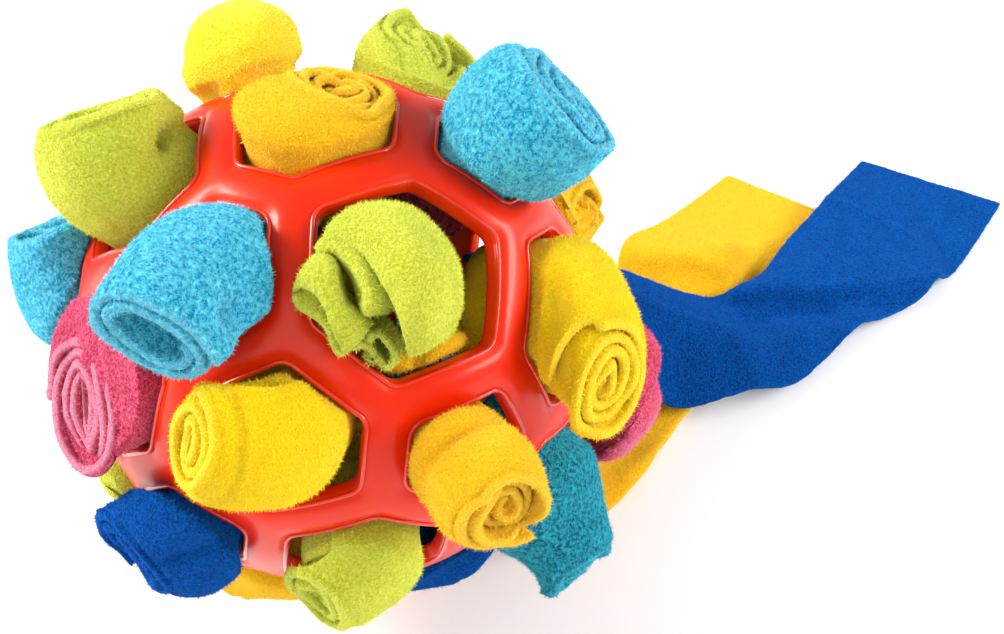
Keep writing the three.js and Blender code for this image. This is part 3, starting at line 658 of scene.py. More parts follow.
def roll_sheet(roll):
    """One wound strip as stacked closed rings, each round both faces of the cloth, and its size."""
    hole = holes[roll["hole"]]
    along, north, east = hole["along"], hole["north"], hole["east"]
    seed = roll["hole"] + 11
    form = roll["form"]
    rows = stations(roll, hole)
    narrow = min(roll["end"])
    girth = (roll["wide"] + roll["thick"]) / 2
    pitch = roll.get("pitch", PITCH)
    turns, from_flap = winding(roll, narrow, girth, pitch)
    length = from_flap[0]
    hand = roll.get("hand", 1)
    angle = math.radians(roll["flap"]) + hand * 2 * math.pi * turns
    rounded = cut_edge(from_flap) * cut_edge(length - from_flap)
    under = pitch * (0.5 - turns)
    inwards = np.clip(under / (narrow / 2), 0, 1)
    turn = math.radians(roll["turn"])
    wide_at_hole = north * math.cos(turn) + east * math.sin(turn)
    edges = passage(hole, 0.6)
    gaps = [np.linalg.norm(b["middle"] - a["middle"]) for a, b in zip(rows, rows[1:])]
    ahead_of = np.concatenate([np.cumsum(gaps[::-1])[::-1], [0]])
    axis_length = ahead_of[0]
    last = rows[-1]
    dome = 0.45 * narrow
    round_off = dome * 0.9 if form == "round" else 1.7
    plan = [(row, ahead) for row, ahead in zip(rows, ahead_of) if ahead > round_off]
    if form == "round":
        plan += [(last, dome * (1 - math.sin(math.radians(a))))
                 for a in (15, 26, 36, 45, 54, 62, 69, 75, 80, 85, 90)]
    else:
        plan += [(last, ahead) for ahead in (1.6, 1.1, 0.7, 0.4, 0.15, 0.0)]
    # The layers end at uneven heights, and the middle of the coil is dished or stands out.
    ragged = roll.get("ragged", RAGGED[form])
    waves = lumps(np.stack([from_flap, from_flap * 0, from_flap * 0 + seed * 7.3], -1), 11.0, seed)
    dish = roll.get("dish", DISHED[form])
    reach = ragged * waves * smooth(from_flap / 14) - dish * inwards ** 1.5
    reach = reach - roll.get("setback", 0) * smooth(turns * 5)
    lift = roll.get("lift", 0.5) * smooth(1 - from_flap / 12)
    fade = (1 - inwards) ** 1.5
    grid = []
    for row, ahead in plan:
        heading, inside = row["heading"], row["inside"]
        tipness = smooth(1 - ahead / 9.0)
        middle = row["middle"] - heading * (ahead if row is last else 0)
        wide_way = unit(wide_at_hole - heading * (wide_at_hole @ heading))
        thick_way = np.cross(heading, wide_way)
        half_wide, half_thick = row["oval"][0] / 2, row["oval"][1] / 2
        slant = math.radians(roll.get("twist", 0)) * smooth(ahead / 14)
        around = angle + slant
        bearing, outline = around, 1.0
        if form == "coil":
            outline = 1 - 0.06 * smooth(1 - ahead / 3.5)
        if form == "round":
            outline = 0.08 + 0.92 * math.sqrt(max(0.0, 1 - max(0.0, 1 - ahead / dome) ** 2))
        if form == "rosette":
            bearing = around + 0.35 * tipness * np.sin(2 * around + inwards * 4 + seed)
            outline = 1 - 0.2 * smooth(1 - ahead / 7.0) + 0.07 * tipness * np.sin(3 * around + seed)
        steady = np.stack([np.cos(around) * 9, np.sin(around) * 9,
                           np.full(len(around), axis_length - ahead)], -1)
        outline = outline + UNEVEN * (1 - inside) * lumps(steady, 8.0, seed + 3)
        for dent in roll.get("dents", ()):
            turned = np.abs((around - math.radians(dent["at"]) + math.pi) % (2 * math.pi) - math.pi)
            far = (turned * girth / 2 / dent["width"]) ** 2 + ((ahead - dent["ahead"]) / dent["length"]) ** 2
            outline = outline - dent["deep"] / (girth / 2) * np.exp(-far) * (1 - inside)
        out_ray = (wide_way * (half_wide * outline * np.cos(bearing))[:, None]
                   + thick_way * (half_thick * outline * np.sin(bearing))[:, None])
        surface = middle + out_ray
        shrink = 1.0
        if inside > 0:
            rim = middle + out_ray * (1 + np.where(turns > 0, np.clip(-under, 0, 9), 0) / 13)[:, None]
            shrink = 1 - (1 - share_inside(rim, hole, edges)[:, None]) * inside
            surface = mix((surface @ along)[:, None] * along, surface, shrink)
        away = np.linalg.norm(surface, axis=1)
        push = np.maximum(0, BALL_RADIUS + 0.4 - away) * fade * smooth(row["share"] / 0.08)
        sink = np.maximum(0, -(surface[:, 2] + BALL_MIDDLE[2])) * fade
        squeeze = np.minimum(outline, 1)
        layers = []
        for face in (-1, 1):
            thin = rounded * (cut_edge(ahead) if form != "round" else 1)
            depth = under + CLOTH / 2 - lift * (1 - inside) + face * CLOTH / 2 * thin
            ray = (wide_way * (np.maximum(half_wide * outline - depth * squeeze, 0.35)
                               * np.cos(bearing))[:, None]
                   + thick_way * (np.maximum(half_thick * outline - depth * squeeze, 0.25)
                                  * np.sin(bearing))[:, None])
            place = middle + ray
            place = mix((place @ along)[:, None] * along, place, shrink)
            place = place + unit(place) * push[:, None] + heading * (reach * tipness)[:, None]
            place[:, 2] = np.maximum(place[:, 2] + sink, -BALL_MIDDLE[2])
            layers.append(place)
        grid.append(np.concatenate([layers[0], layers[1][::-1]]))
    return np.array(grid)[:, ::hand] + BALL_MIDDLE, (axis_length, length)


def fleece_finish(name, light, deep, pale, pebble, contrast, relief, painted_sheen_share):
    """Brushed fleece: pebbles of pile of a size and relief in millimetres, with no gloss.

    The cut edges are blended towards a pale colour: painted sheen, standing in for the light they catch.
    """
    finish = Finish(name)
    where = finish.node("TexCoord", None, None, 3)
    tufts = finish.node("ValToRGB", {"stops": [(0.34, 0.0), (0.66, 1.0)]},
                        {"Fac": finish.noise(where, pebble, 3, 0.65)})
    worn = finish.noise(where, 9, 3)
    cut = finish.node("Attribute", {"attribute_name": "cut_edge"}, None, 2)
    tone = 0.5 + contrast * (tufts + 0.5 * worn - 0.75)
    colour = finish.blend(tone, linear(deep), linear(light))
    # Painted sheen: the cut edges are blended towards the pale sheen tint.
    colour = finish.blend(painted_sheen_share * cut, colour, linear(pale))
    bump = finish.node("Bump", None, {"Height": tufts, "Distance": relief * 0.001})
    cloth = finish.node("BsdfPrincipled", None, {
        "Base Color": colour,
        "Roughness": 0.95,
        "Normal": bump,
        "Specular IOR Level": 0.05,
        "Sheen Weight": 0.6,
        "Sheen Roughness": 0.3,
        "Sheen Tint": (*linear(pale), 1),
        "Subsurface Weight": 0.1,
        "Subsurface Radius": (0.001, 0.001, 0.001),
        "Subsurface Scale": 1.0,
    })
    return finish.done(cloth)


# The last number of each is how far the cut edges are paled by painted sheen.
FLEECE = {
    "lime": fleece_finish("lime_fleece", "e6ec5e", "b4ba14", "eef290", 0.6, 0.8, 0.4, 0.2),
    "gold": fleece_finish("gold_fleece", "ffd62c", "fbab04", "ffea74", 0.55, 0.6, 0.35, 0.2),
    "yellow": fleece_finish("yellow_fleece", "ffe61e", "fabe02", "fff078", 0.55, 0.6, 0.35, 0.2),
    # A paler copy of the yellow fleece: a painted highlight for a strongly lit roll.
    "lemon": fleece_finish("yellow_painted_highlight_fleece", "fff040", "fed010", "fff490", 0.55, 0.6, 0.35, 0.2),
    "cyan": fleece_finish("cyan_fleece", "66def8", "009ac6", "aaecfe", 1.0, 1.6, 0.9, 0.3),
    "teal": fleece_finish("teal_fleece", "30b0c4", "005f7e", "70cce0", 0.9, 1.5, 0.8, 0.3),
    "royal": fleece_finish("royal_fleece", "0059ae", "003274", "2270d0", 0.7, 1.1, 0.5, 0.25),
    "pink": fleece_finish("pink_fleece", "f65a80", "bc1240", "ffb4cc", 0.7, 1.2, 0.6, 0.65),
}
# These colours show a coarser nap.
NAPPY = {"cyan", "teal", "royal", "pink"}


def mark_painted_sheen_edges(piece, grids):
    """Marks where the cloth thins to its cut edges, where the material paints a pale sheen."""
    shares = []
    for grid in grids:
        thick = np.linalg.norm(grid - grid[:, ::-1], axis=-1)
        shares.append(smooth(1.6 * (1 - thick / thick.max())).reshape(-1))
    piece.data.attributes.new("cut_edge", "FLOAT", "POINT")
    piece.data.attributes["cut_edge"].data.foreach_set("value", np.concatenate(shares))


# Every cloth of a material, and whether it shows well, for the loose pile.
CLOTHS = {colour: [] for colour in FLEECE}


def fleece_piece(name, grid, colour, flat, in_sight=True):
    """A closed cloth from its rings, with its pile, material and place in the toy."""
    soft = with_pile(grid, NAPPY_RELIEF if colour in NAPPY else PILE_RELIEF)
    soft[..., 2] = np.maximum(soft[..., 2], 0)
    piece = mesh_piece(name, soft.reshape(-1, 3), closed_grid(grid))
    piece.data.materials.append(FLEECE[colour])
    mark_painted_sheen_edges(piece, [grid])
    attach(piece, "root")
    flat[0] * 0.001
    flat[1] * 0.001
    CLOTHS[colour].append((piece, in_sight))
    return piece


for roll in ROLLS:
    grid, flat = roll_sheet(roll)
    name = "roll_%02d_%s" % (roll["hole"], roll["colour"])
    piece = fleece_piece("fleece_" + name, grid, roll.get("finish", roll["colour"]), flat,
                         roll["hole"] in SEEN)
    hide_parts(name)


# The slumped roll: a lime strip of the same fleece that has slipped back into the front hole. It
# is doubled over, so it shows a fat smooth fold, and its free end curls over the rim in a band, an
# open pouch and small loops. A fold of a golden strip shows below it. Nothing holds either.
# Places are north, east and up in the hole, up along its middle line from the middle of the ball.
DOME = [
    [(12, -13, 60.5), (11, -10.5, 63), (7, -8.5, 66.5), (0.5, -8, 68.5),
     (-5, -7, 67.5), (-10, -7, 65), (-14.5, -7, 60.5)],
    [(13.5, -12, 61), (12, -9, 65.5), (7.5, -6.5, 69.5), (0.5, -5, 71.5),
     (-6, -5, 70.5), (-10.5, -5, 67), (-14.5, -5, 61)],
    [(14.5, -10, 60.5), (13.5, -7, 65.5), (9.5, -3.5, 69), (3, -2, 72),
     (-4.5, -2, 72), (-10, -2.5, 68.5), (-14.5, -3, 61.5)],
    [(15.5, -6.5, 59), (14, -3.5, 63.5), (11, 0, 66.5), (5.5, 1.5, 69.5),
     (-2.5, 2.5, 70.5), (-9, 1.5, 67), (-14, 0, 60)],
    [(16, -3.5, 54.5), (14.5, 0.5, 57), (12, 3.5, 60), (6.5, 6, 62.5),
     (-1.5, 7, 63.5), (-9, 5.5, 60), (-13.5, 3, 54.5)],
    [(16, 2, 43), (15.5, 5.5, 43), (13, 9, 43), (8.5, 10.5, 45),
     (1, 11.5, 45.5), (-6, 10, 44.5), (-10, 6.5, 41.5)],
]
CURLED_BAND = [
    [(12.5, -13.5, 57.5), (11.5, -14.5, 58.5), (10.5, -14.5, 59.5), (9, -12, 54)],
    [(12.5, -11.5, 59.5), (11.5, -12.5, 61.5), (10, -12, 62), (8, -10, 55.5)],
    [(11, -9, 62), (9.5, -10, 64), (7.5, -11, 64.5), (5.5, -9.5, 57)],
    [(7.5, -7, 64), (6, -9, 66), (4, -10.5, 66.5), (3, -9.5, 58)],
    [(2, -6, 64.5), (1.5, -8.5, 66.5), (0.5, -10.5, 66.5), (0.5, -10, 58)],
    [(-2.5, -5.5, 62.5), (-2.5, -8.5, 65.5), (-2.5, -11.5, 65.5), (-1.5, -10, 57)],
    [(-5, -6.5, 57.5), (-4.5, -9, 61), (-4, -11.5, 62.5), (-3, -10, 55)],
]
POUCH_TOP = [
    [(10, -14, 53.5), (10, -16, 59), (8, -19.5, 60), (5.5, -22, 58)],
    [(8, -12, 54), (9, -15, 62.5), (7.5, -18.5, 63.5), (5.5, -20.5, 60.5)],
    [(6, -11.5, 55.5), (7, -14.5, 64), (5, -17.5, 64.5), (3.5, -19, 62)],
    [(3, -12, 55.5), (3.5, -15.5, 64), (2, -17.5, 64), (0, -18.5, 62.5)],
    [(0, -12, 55.5), (0, -15.5, 63), (-2, -17.5, 63), (-3.5, -18.5, 61.5)],
    [(-3.5, -11, 56), (-3.5, -13.5, 62), (-5.5, -16, 62.5), (-6.5, -18.5, 60.5)],
    [(-6, -9, 55), (-6.5, -11.5, 60), (-8, -14.5, 60.5), (-9, -17.5, 59)],
]
POUCH_UNDER = [
    [(5, -22.5, 58), (5.5, -21, 58), (6.5, -17.5, 58)],
    [(2.5, -22.5, 58), (3.5, -20, 58), (5, -16.5, 57.5)],
    [(0, -21, 59), (1.5, -19, 58.5), (2.5, -15, 57)],
    [(-2, -20, 59.5), (-1, -18, 59), (0, -14.5, 56)],
    [(-4.5, -19.5, 59.5), (-3.5, -17.5, 59), (-2.5, -13.5, 55.5)],
    [(-7, -19.5, 59), (-6.5, -17, 57.5), (-5.5, -13, 54)],
    [(-9.5, -19, 58.5), (-9, -16.5, 57), (-8, -12, 53)],
]
LOOPS = [
    (-9, -16.5, 59.5), (-9, -15, 59.5), (-9.5, -13.5, 59), (-11.5, -13, 59),
    (-12.5, -13.5, 58.5), (-12, -14, 58), (-10, -13, 58.5), (-8.5, -12, 59.5),
    (-8.5, -10.5, 60.5), (-11, -9.5, 60.5), (-13.5, -9, 59.5), (-15, -10.5, 58),
    (-14.5, -11.5, 58), (-13, -12, 58), (-11.5, -12, 58),
]
GOLD_FOLD = [
    [(-13, -15, 46), (-17, -8.5, 46), (-19, -4.5, 46), (-18.5, 0, 46.5),
     (-17.5, 4.5, 46.5), (-18, 9.5, 45.5), (-18.5, 12, 45)],
    [(-11, -15, 49), (-15, -8.5, 49.5), (-17, -4.5, 50), (-16.5, -1, 51.5),
     (-16, 3.5, 51.5), (-16.5, 8, 49.5), (-17.5, 11, 47.5)],
    [(-9.5, -14, 49), (-13, -7.5, 50), (-15.5, -3.5, 50.5), (-15.5, 0, 50.5),
     (-14.5, 4.5, 51), (-15, 8.5, 49), (-16.5, 12, 46.5)],
    [(-9, -11, 44), (-12, -5, 44), (-14.5, 0, 43.5), (-14, 3.5, 43.5),
     (-13, 8.5, 43.5), (-14, 12.5, 41), (-15.5, 15.5, 38)],
]


def thick_cloth(surface, step_edges, thick=CLOTH):
    """A cloth of full thickness round a fine grid of points, as stacked closed rings."""
    normal = unit(np.cross(np.gradient(surface, axis=1), np.gradient(surface, axis=0)) + 1e-9)
    half = thick / 2 * step_edges[..., None] * normal
    return np.concatenate([surface + half, (surface - half)[:, ::-1]], axis=1)


def patch(control, step):
    """A fine grid through a coarse one, its rounded edge shares, and its flat size."""
    control = np.asarray(control, float)
    rough = resample(control, np.linspace(0, 1, 40))
    rough = np.swapaxes(resample(np.swapaxes(rough, 0, 1), np.linspace(0, 1, 60)), 0, 1)
    down = np.linalg.norm(np.diff(rough, axis=0), axis=-1).sum(0).mean()
    across = np.linalg.norm(np.diff(rough, axis=1), axis=-1).sum(1).mean()
    row_at, column_at = spaced(down, step), spaced(across, step)
    fine = resample(control, row_at / down)
    fine = np.swapaxes(resample(np.swapaxes(fine, 0, 1), column_at / across), 0, 1)
    edges = (cut_edge(np.minimum(row_at, down - row_at))[:, None]
             * cut_edge(np.minimum(column_at, across - column_at))[None, :])
    return fine, edges, (down, across)


def in_hole(places, hole):
    """Places given as north, east and up in a hole, as points from the middle of the ball."""
    places = np.asarray(places, float)
    return (places[..., :1] * hole["north"] + places[..., 1:2] * hole["east"]
            + places[..., 2:] * hole["along"])


def clear_of_ball(points, hole, edges):
    """Cloth below the ball's outside goes through the hole, and cloth above lies on the strut."""
    shrink = share_inside(points, hole, edges)[..., None]
    away = np.linalg.norm(points, axis=-1, keepdims=True)
    lateral = mix((points @ hole["along"])[..., None] * hole["along"], points, shrink)
    inside = mix(lateral, points, smooth((away - BALL_RADIUS) / 1.6))
    on_strut = points * np.maximum(1, (BALL_RADIUS + 1.6) / away)
    return np.where((shrink < 1) & (away > BALL_RADIUS - 1.0), on_strut, inside)


# The slumped roll in the front hole: its fold, the layer under it and its curls, kept clear of the rim.
front = holes[6]
front_edges = passage(front, CLOTH / 2 + 0.4)
fold, fold_edges = patch(in_hole(DOME, front), FINE_STEP)[:2]
fold = clear_of_ball(fold, front, front_edges)
under_fold = [[(n + 0.5, e + 2, u - 2.2) for n, e, u in row] for row in DOME[2:]]
second, second_edges = patch(in_hole(under_fold, front), FINE_STEP)[:2]
second = clear_of_ball(second, front, front_edges)
parts = [thick_cloth(fold, fold_edges), thick_cloth(second, second_edges)]
looped = [[(n + 3 * share, e + 5 * share, u - 9 * share) for n, e, u in LOOPS]
          for share in (0, 0.35, 0.7, 1)]
for rows, thick in ((CURLED_BAND, 2.2), (POUCH_TOP, 2.0), (POUCH_UNDER, 1.8), (looped, 1.7)):
    curl, curl_edges = patch(in_hole(rows, front), FINE_STEP * 0.8)[:2]
    curl = clear_of_ball(curl, front, front_edges)
    parts.append(thick_cloth(curl, curl_edges, thick))
points, faces = [], []
total = 0
for part in parts:
    soft = with_pile(part)
    faces += [[corner + total for corner in face] for face in closed_grid(part)]
    points.append(soft.reshape(-1, 3))
    total += len(points[-1])
slumped = mesh_piece("fleece_roll_06_lime", np.concatenate(points) + BALL_MIDDLE, faces)
slumped.data.materials.append(FLEECE["lime"])
mark_painted_sheen_edges(slumped, parts)
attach(slumped, "root")
CLOTHS["lime"].append((slumped, True))
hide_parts("roll_06_lime")

gold_fold, gold_edges, flat = patch(in_hole(GOLD_FOLD, front), FINE_STEP)
gold_fold = clear_of_ball(gold_fold, front, front_edges)
fleece_piece("fleece_inner_fold_gold", thick_cloth(gold_fold, gold_edges) + BALL_MIDDLE, "gold",
             flat)


# The loose strips: one royal blue and one golden strip of the same fleece. Each is tucked by one
# end into a hole at the right and lies out over the surface with a few soft folds. The rows give
# the middle of a section, the way to its left edge, and how far it arches between its edges.
BLUE_STRIP = [
    [(31, 29.3, 55.3), (-2.7, 8.3, 8.3), (8.8, -6.2, 9)],
    [(42, 38.3, 50.3), (-2.7, 8.3, 8.3), (8.8, -6.2, 9)],
    [(55, 46, 44), (-5.4, 11.2, 13), (5, -3.5, 5)],
    [(75, 49, 22), (-10.5, 14, 17), (2, -1.5, 3)],
    [(93, 55, 13.5), (-11, 16.5, 8.5), (0, 0, 4)],
    [(110, 61, 6), (-12.5, 17, 3.2), (0, 0, 4)],
    [(125, 68, 4), (-9, 14, 2), (0, 0, 5)],
    [(140, 86, 4), (-9, 18, 1.5), (0, 0, 2)],
    [(164, 108, 3.5), (-15, 20, 2), (0, 0, 1.5)],
    [(188, 141, 1.5), (-21, 13, 0), (0, 0, 0)],
]
YELLOW_STRIP = [
    [(25, -1, 37), (0, 11.4, 0), (10.4, 0, 9.3)],
    [(36, -1, 25), (0, 11.4, 0), (10.4, 0, 9.3)],
    [(46, 4, 13), (-1, 14, 0), (6, 0, 6)],
    [(54, 15, 3), (-7, 18, 0), (1, 0, 5)],
    [(62, 31, 1.5), (-14, 18, 0), (0, 0, 1)],
    [(73, 51, 1.5), (-17, 16, 0), (0, 0, 0)],
    [(90, 74, 2), (-17, 16, 1.5), (0, 0, 1)],
    [(99, 92, 4.5), (-19, 12, 3), (0, 0, 5)],
    [(117, 112, 2), (-19, 14, 0.5), (0, 0, 1)],
    [(138, 134, 1.5), (-19, 14.5, 0), (0, 0, 0)],
]
# A crease runs from one place on the surface to another, and rises or sinks over a width to its
# left and its right.
BLUE_CREASES = [
    {"from": (72, 54), "to": (108, 55), "rise": 4.5, "left": 2.5, "right": 12},
    {"from": (114, 76), "to": (176, 84), "rise": 5, "left": 24, "right": 1.6},
    {"from": (108, 49), "to": (148, 69), "rise": 3, "left": 4, "right": 8},
    {"from": (116, 68), "to": (136, 73), "rise": -3.5, "left": 4, "right": 5},
    {"from": (154, 78), "to": (176, 86), "rise": 1.5, "left": 1.5, "right": 1.2},
    {"from": (147, 128), "to": (170, 107), "rise": 1.2, "left": 1.2, "right": 2.5},
]
YELLOW_CREASES = [
    {"from": (72, 97), "to": (106, 88), "rise": 5, "left": 16, "right": 1.8},
    {"from": (98, 92), "to": (132, 113), "rise": 1.5, "left": 1.5, "right": 7},
    {"from": (110, 83), "to": (108, 90), "rise": 3.5, "left": 1.5, "right": 2.2},
    {"from": (80, 20), "to": (72, 12), "rise": 2, "left": 2, "right": 3},
]


def strip_grid(rows, creases, step):
    """A strip's surface on its rows of sections, with its creases, and its flat size."""
    across = np.linspace(1, -1, 9)[:, None]
    control = [[np.array(middle) + np.array(side) * a + np.array(arch) * (1 - a * a)
                for a in across[:, 0]] for middle, side, arch in rows]
    surface, edges, flat = patch(control, step)
    for crease in creases:
        start, end = np.array(crease["from"], float), np.array(crease["to"], float)
        run = unit(end - start)
        reach = np.linalg.norm(end - start)
        offset = surface[..., :2] - start
        forward = offset @ run
        sideways = offset @ np.array([-run[1], run[0]])
        width = np.where(sideways > 0, crease["left"], crease["right"])
        beyond = np.maximum(0, np.maximum(-forward, forward - reach))
        crest = np.exp(0.35 - np.sqrt((sideways / width) ** 2 + 0.12) - (beyond / 6) ** 2)
        surface[..., 2] += crease["rise"] * crest
    surface[..., 2] += 0.5 * lumps(surface, 13.0, 8) * smooth(surface[..., 2] / 6)
    surface[..., 2] = np.maximum(surface[..., 2], CLOTH / 2)
    return thick_cloth(surface, edges), flat


for node, colour, rows, creases in (("strip_royal", "royal", BLUE_STRIP, BLUE_CREASES),
                                    ("strip_gold", "gold", YELLOW_STRIP, YELLOW_CREASES)):
    grid, flat = strip_grid(rows, creases, 1.0)
    piece = fleece_piece("fleece_" + node, grid, colour, flat)
    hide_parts(node)


# The loose pile: single fibres of the brushed fleece that stand up from its face and blur its
# outline. They are part of the cloth, about a millimetre long, and lean every way. They stand where
# the space before the cloth is clear, and thinner on the rolls that show less.
FIBRE_LENGTH = 0.95
FIBRE_WIDTH = 0.17
FIBRES_SEEN = 3.3
FIBRES_BEHIND = 1.2
CLEAR_SPACE = 6.0
# Fibres stand no closer than this to the middle of the ball: outside it, or also in the front hole.
OUTSIDE = 60.0
IN_FRONT_HOLE = 30.0
FRONT_HOLE_CLOTHS = ("fleece_roll_06_lime", "fleece_inner_fold_gold")
# The least upward slope of cloth with fibres: below any, or only on top.
ANY_SLOPE = -2.0
ON_TOP = 0.0
FIBRE_TINTS = {"lime": "dce45a", "gold": "ffd030", "yellow": "ffe024", "lemon": "fff050",
               "cyan": "64d8f2", "teal": "34a8be", "royal": "1a5cb8", "pink": "f87898"}


def pile_tree():
    """Geometry Nodes that stand leaning fibres on all cloth with a clear space in front of it."""
    tree = bpy.data.node_groups.new("loose_pile", "GeometryNodeTree")
    tree.interface.new_socket("Cloth", in_out="INPUT", socket_type="NodeSocketGeometry")
    sockets = {name: group_input(tree, name, kind, value) for name, kind, value in (
        ("Fibres a square metre", "NodeSocketFloat", FIBRES_SEEN * 1e6),
        ("Fibre length", "NodeSocketFloat", FIBRE_LENGTH * 0.001),
        ("Fibre width", "NodeSocketFloat", FIBRE_WIDTH * 0.001),
        ("Clear space", "NodeSocketFloat", CLEAR_SPACE * 0.001),
        ("Least distance", "NodeSocketFloat", OUTSIDE * 0.001),
        ("Least upward slope", "NodeSocketFloat", ANY_SLOPE),
        ("Seed", "NodeSocketInt", 3),
        ("Finish", "NodeSocketMaterial", None))}
    tree.interface.new_socket("Pile", in_out="OUTPUT", socket_type="NodeSocketGeometry")

    def add(kind, inputs=None, **settings):
        node = tree.nodes.new(kind)
        for key, value in settings.items():
            setattr(node, key, value)
        for key, value in (inputs or {}).items():
            if isinstance(value, bpy.types.NodeSocket):
                tree.links.new(value, node.inputs[key])
            else:
                node.inputs[key].default_value = value
        return node

    given = add("NodeGroupInput").outputs
    normal = add("GeometryNodeInputNormal").outputs[0]
    spot = add("GeometryNodeInputPosition").outputs[0]
    lifted = add("ShaderNodeVectorMath", {0: normal, 1: (0.0004, 0.0004, 0.0004), 2: spot},
                 operation="MULTIPLY_ADD").outputs[0]
    cast = add("GeometryNodeRaycast", {"Target Geometry": given["Cloth"], "Source Position": lifted,
                                       "Ray Direction": normal, "Ray Length": given["Clear space"]})
    away = add("ShaderNodeVectorMath", {0: spot, 1: tuple(BALL_MIDDLE * 0.001)},
               operation="DISTANCE").outputs["Value"]
    outside = add("FunctionNodeCompare", {0: away, 1: given["Least distance"]},
                  data_type="FLOAT", operation="GREATER_THAN").outputs[0]
    height = add("ShaderNodeSeparateXYZ", {0: spot}).outputs[2]
    raised = add("FunctionNodeCompare", {0: height, 1: given["Fibre length"]},
                 data_type="FLOAT", operation="GREATER_THAN").outputs[0]
    slope = add("ShaderNodeSeparateXYZ", {0: normal}).outputs[2]
    facing = add("FunctionNodeCompare", {0: slope, 1: given["Least upward slope"]},
                 data_type="FLOAT", operation="GREATER_THAN").outputs[0]
    free = add("FunctionNodeBooleanMath", {0: outside, 1: cast.outputs["Is Hit"]},
               operation="NIMPLY").outputs[0]
    upper = add("FunctionNodeBooleanMath", {0: raised, 1: facing}, operation="AND").outputs[0]
    clear = add("FunctionNodeBooleanMath", {0: free, 1: upper}, operation="AND").outputs[0]
    roots = add("GeometryNodeDistributePointsOnFaces",
                {"Mesh": given["Cloth"], "Selection": clear,
                 "Density": given["Fibres a square metre"], "Seed": given["Seed"]}).outputs
    third = add("ShaderNodeMath", {0: given["Fibre length"], 1: 3.0}, operation="DIVIDE").outputs[0]
    long = add("ShaderNodeMath", {0: given["Fibre length"], 1: 1.5}, operation="DIVIDE").outputs[0]
    wide = add("ShaderNodeMath", {0: given["Fibre width"], 1: 1.73}, operation="DIVIDE").outputs[0]
    scale = add("ShaderNodeCombineXYZ", {0: long, 1: wide, 2: 1.0}).outputs[0]
    upward = add("ShaderNodeCombineXYZ", {0: 0.0, 1: 0.0, 2: third}).outputs[0]
    sliver = add("GeometryNodeMeshCircle", {"Vertices": 3, "Radius": 1.0}, fill_type="NGON").outputs[0]
    fibre = add("GeometryNodeTransform", {"Geometry": sliver, "Translation": upward, "Scale": scale,
                                          "Rotation": (0.0, -math.pi / 2, 0.0)}).outputs[0]
    lean = add("FunctionNodeRandomValue", {0: (0.0, 0.35, 0.0), 1: (0.0, 1.2, 2 * math.pi)},
               data_type="FLOAT_VECTOR").outputs[0]
    leaning = add("FunctionNodeEulerToRotation", {0: lean}).outputs[0]
    turned = add("FunctionNodeRotateRotation", {0: roots["Rotation"], 1: leaning},
                 rotation_space="LOCAL").outputs[0]
    size = add("FunctionNodeRandomValue", {2: 0.5, 3: 1.1}, data_type="FLOAT").outputs[1]
    stand = add("GeometryNodeInstanceOnPoints", {"Points": roots["Points"], "Instance": fibre,
                                                 "Rotation": turned, "Scale": size}).outputs[0]
    real = add("GeometryNodeRealizeInstances", {"Geometry": stand}).outputs[0]
    painted = add("GeometryNodeSetMaterial", {"Geometry": real, "Material": given["Finish"]}).outputs[0]
    add("NodeGroupOutput", {"Pile": painted})
    return tree, sockets


tree, sockets = pile_tree()
for colour, tint in FIBRE_TINTS.items():
    finish = Finish(colour + "_pile")
    fibre_skin = finish.node("BsdfPrincipled", None, {
        "Base Color": linear(tint),
        "Roughness": 0.95,
        "Specular IOR Level": 0.05,
        "Sheen Weight": 0.4,
        "Sheen Tint": (*linear(tint), 1),
    })
    fibre_finish = finish.done(fibre_skin)
    gathered = bmesh.new()
    for cloth, in_sight in CLOTHS[colour]:
        modifier = cloth.modifiers.new("pile", "NODES")
        modifier.node_group = tree
        modifier[sockets["Fibres a square metre"]] = (FIBRES_SEEN if in_sight else FIBRES_BEHIND) * 1e6
        modifier[sockets["Finish"]] = fibre_finish
        if cloth.name in FRONT_HOLE_CLOTHS:
            modifier[sockets["Least distance"]] = IN_FRONT_HOLE * 0.001
        if "strip" in cloth.name:
            modifier[sockets["Least upward slope"]] = ON_TOP
        fibres = bpy.data.meshes.new_from_object(cloth.evaluated_get(bpy.context.evaluated_depsgraph_get()))
        gathered.from_mesh(fibres)
        cloth.modifiers.clear()
    pile_mesh = bpy.data.meshes.new("fleece_pile_" + colour)
    gathered.to_mesh(pile_mesh)
    gathered.free()
    pile_mesh.materials.append(fibre_finish)
    pile = bpy.data.objects.new("fleece_pile_" + colour, pile_mesh)
    bpy.context.scene.collection.objects.link(pile)
    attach(pile, "root")


# The studio: a plain pale floor, soft light from the upper left and a camera at the photograph's
# angle.
FLOOR_REACH = 3
FLOOR_HEIGHT = -0.0004
floor_mesh = bpy.data.meshes.new("floor")
floor_corners = [(east * FLOOR_REACH, north * FLOOR_REACH, FLOOR_HEIGHT)
                 for east, north in ((-1, -1), (1, -1), (1, 1), (-1, 1))]
floor_mesh.from_pydata(floor_corners, [], [(0, 1, 2, 3)])
floor = bpy.data.objects.new("floor", floor_mesh)
bpy.context.scene.collection.objects.link(floor)
floor_finish = Finish("pale_floor")
paper = floor_finish.node("BsdfPrincipled", None, {"Base Color": (0.92, 0.92, 0.92), "Roughness": 0.9})
floor_mesh.materials.append(floor_finish.done(paper))


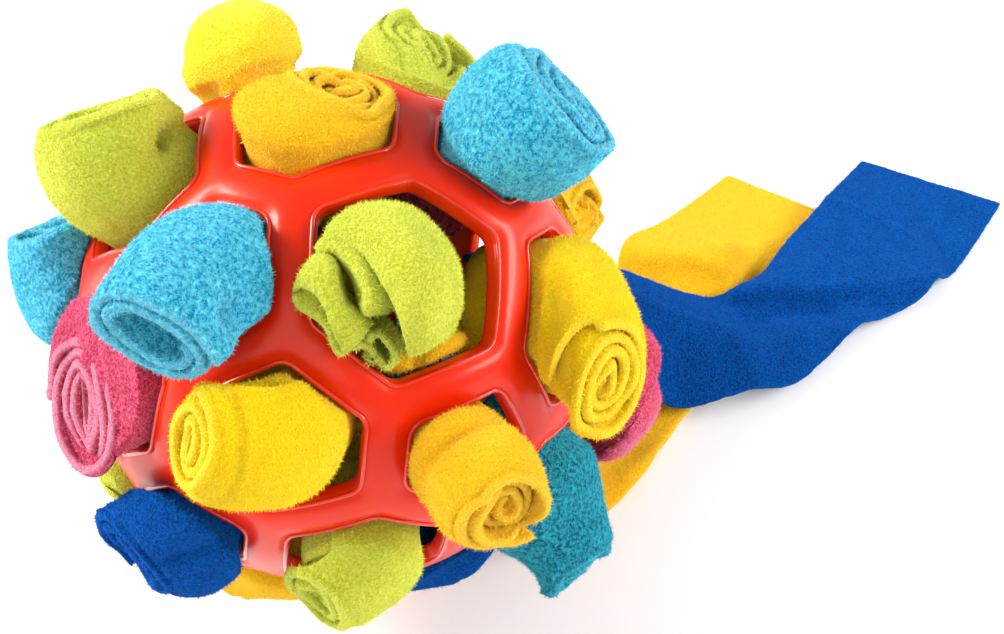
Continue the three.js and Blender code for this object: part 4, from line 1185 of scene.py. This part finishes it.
def soft_light(name, place, aim, wide, high, power):
    lamp = bpy.data.lights.new(name, "AREA")
    lamp.shape = "RECTANGLE"
    lamp.size = wide
    lamp.size_y = high
    lamp.energy = power
    light = bpy.data.objects.new(name, lamp)
    away = unit(np.array(place) - np.array(aim))
    side = unit(np.cross([0.0, 0.001, 1.0], away))
    up = np.cross(away, side)
    matrix = np.eye(4)
    matrix[:3, 0], matrix[:3, 1], matrix[:3, 2], matrix[:3, 3] = side, up, away, place
    light.matrix_world = Matrix(matrix.tolist())
    bpy.context.scene.collection.objects.link(light)


AIM = (0, 0, 0.08)
soft_light("key_light", (-0.82, 0.12, 0.68), AIM, 0.45, 0.45, 18)
soft_light("front_light", (-0.15, -0.9, 0.7), AIM, 0.7, 0.7, 2.3)
soft_light("right_light", (0.88, -0.05, 0.45), AIM, 0.8, 0.3, 10)
world = bpy.data.worlds.new("studio")
world.use_nodes = True
world.node_tree.nodes["Background"].inputs["Color"].default_value = (1, 1, 1, 1)
world.node_tree.nodes["Background"].inputs["Strength"].default_value = 0.55
bpy.context.scene.world = world
bpy.context.scene.view_settings.view_transform = "Standard"

PICTURE_WIDTH, PICTURE_HEIGHT = 1004, 634
ELEVATION, ROLL, DISTANCE = math.radians(43), math.radians(2), 5.5
BALL_AT, BALL_PIXELS = (340.8, 324.3), 253.6
tilt = np.array([[1, 0, 0],
                 [0, math.sin(ELEVATION), math.cos(ELEVATION)],
                 [0, -math.cos(ELEVATION), math.sin(ELEVATION)]])
spin = np.array([[math.cos(ROLL), -math.sin(ROLL), 0],
                 [math.sin(ROLL), math.cos(ROLL), 0],
                 [0, 0, 1]])
axes = spin @ tilt
seen_at = np.array([(BALL_AT[0] - PICTURE_WIDTH / 2) / BALL_PIXELS,
                    -(BALL_AT[1] - PICTURE_HEIGHT / 2) / BALL_PIXELS, -DISTANCE]) * BALL_RADIUS
place = (BALL_MIDDLE - axes.T @ seen_at) * 0.001
camera_data = bpy.data.cameras.new("camera")
camera_data.sensor_width = 36
camera_data.lens = 36 * DISTANCE * BALL_PIXELS / PICTURE_WIDTH
camera = bpy.data.objects.new("camera", camera_data)
matrix = np.eye(4)
matrix[:3, :3] = axes.T
matrix[:3, 3] = place
camera.matrix_world = Matrix(matrix.tolist())
bpy.context.scene.collection.objects.link(camera)
bpy.context.scene.camera = camera

bpy.context.view_layer.update()
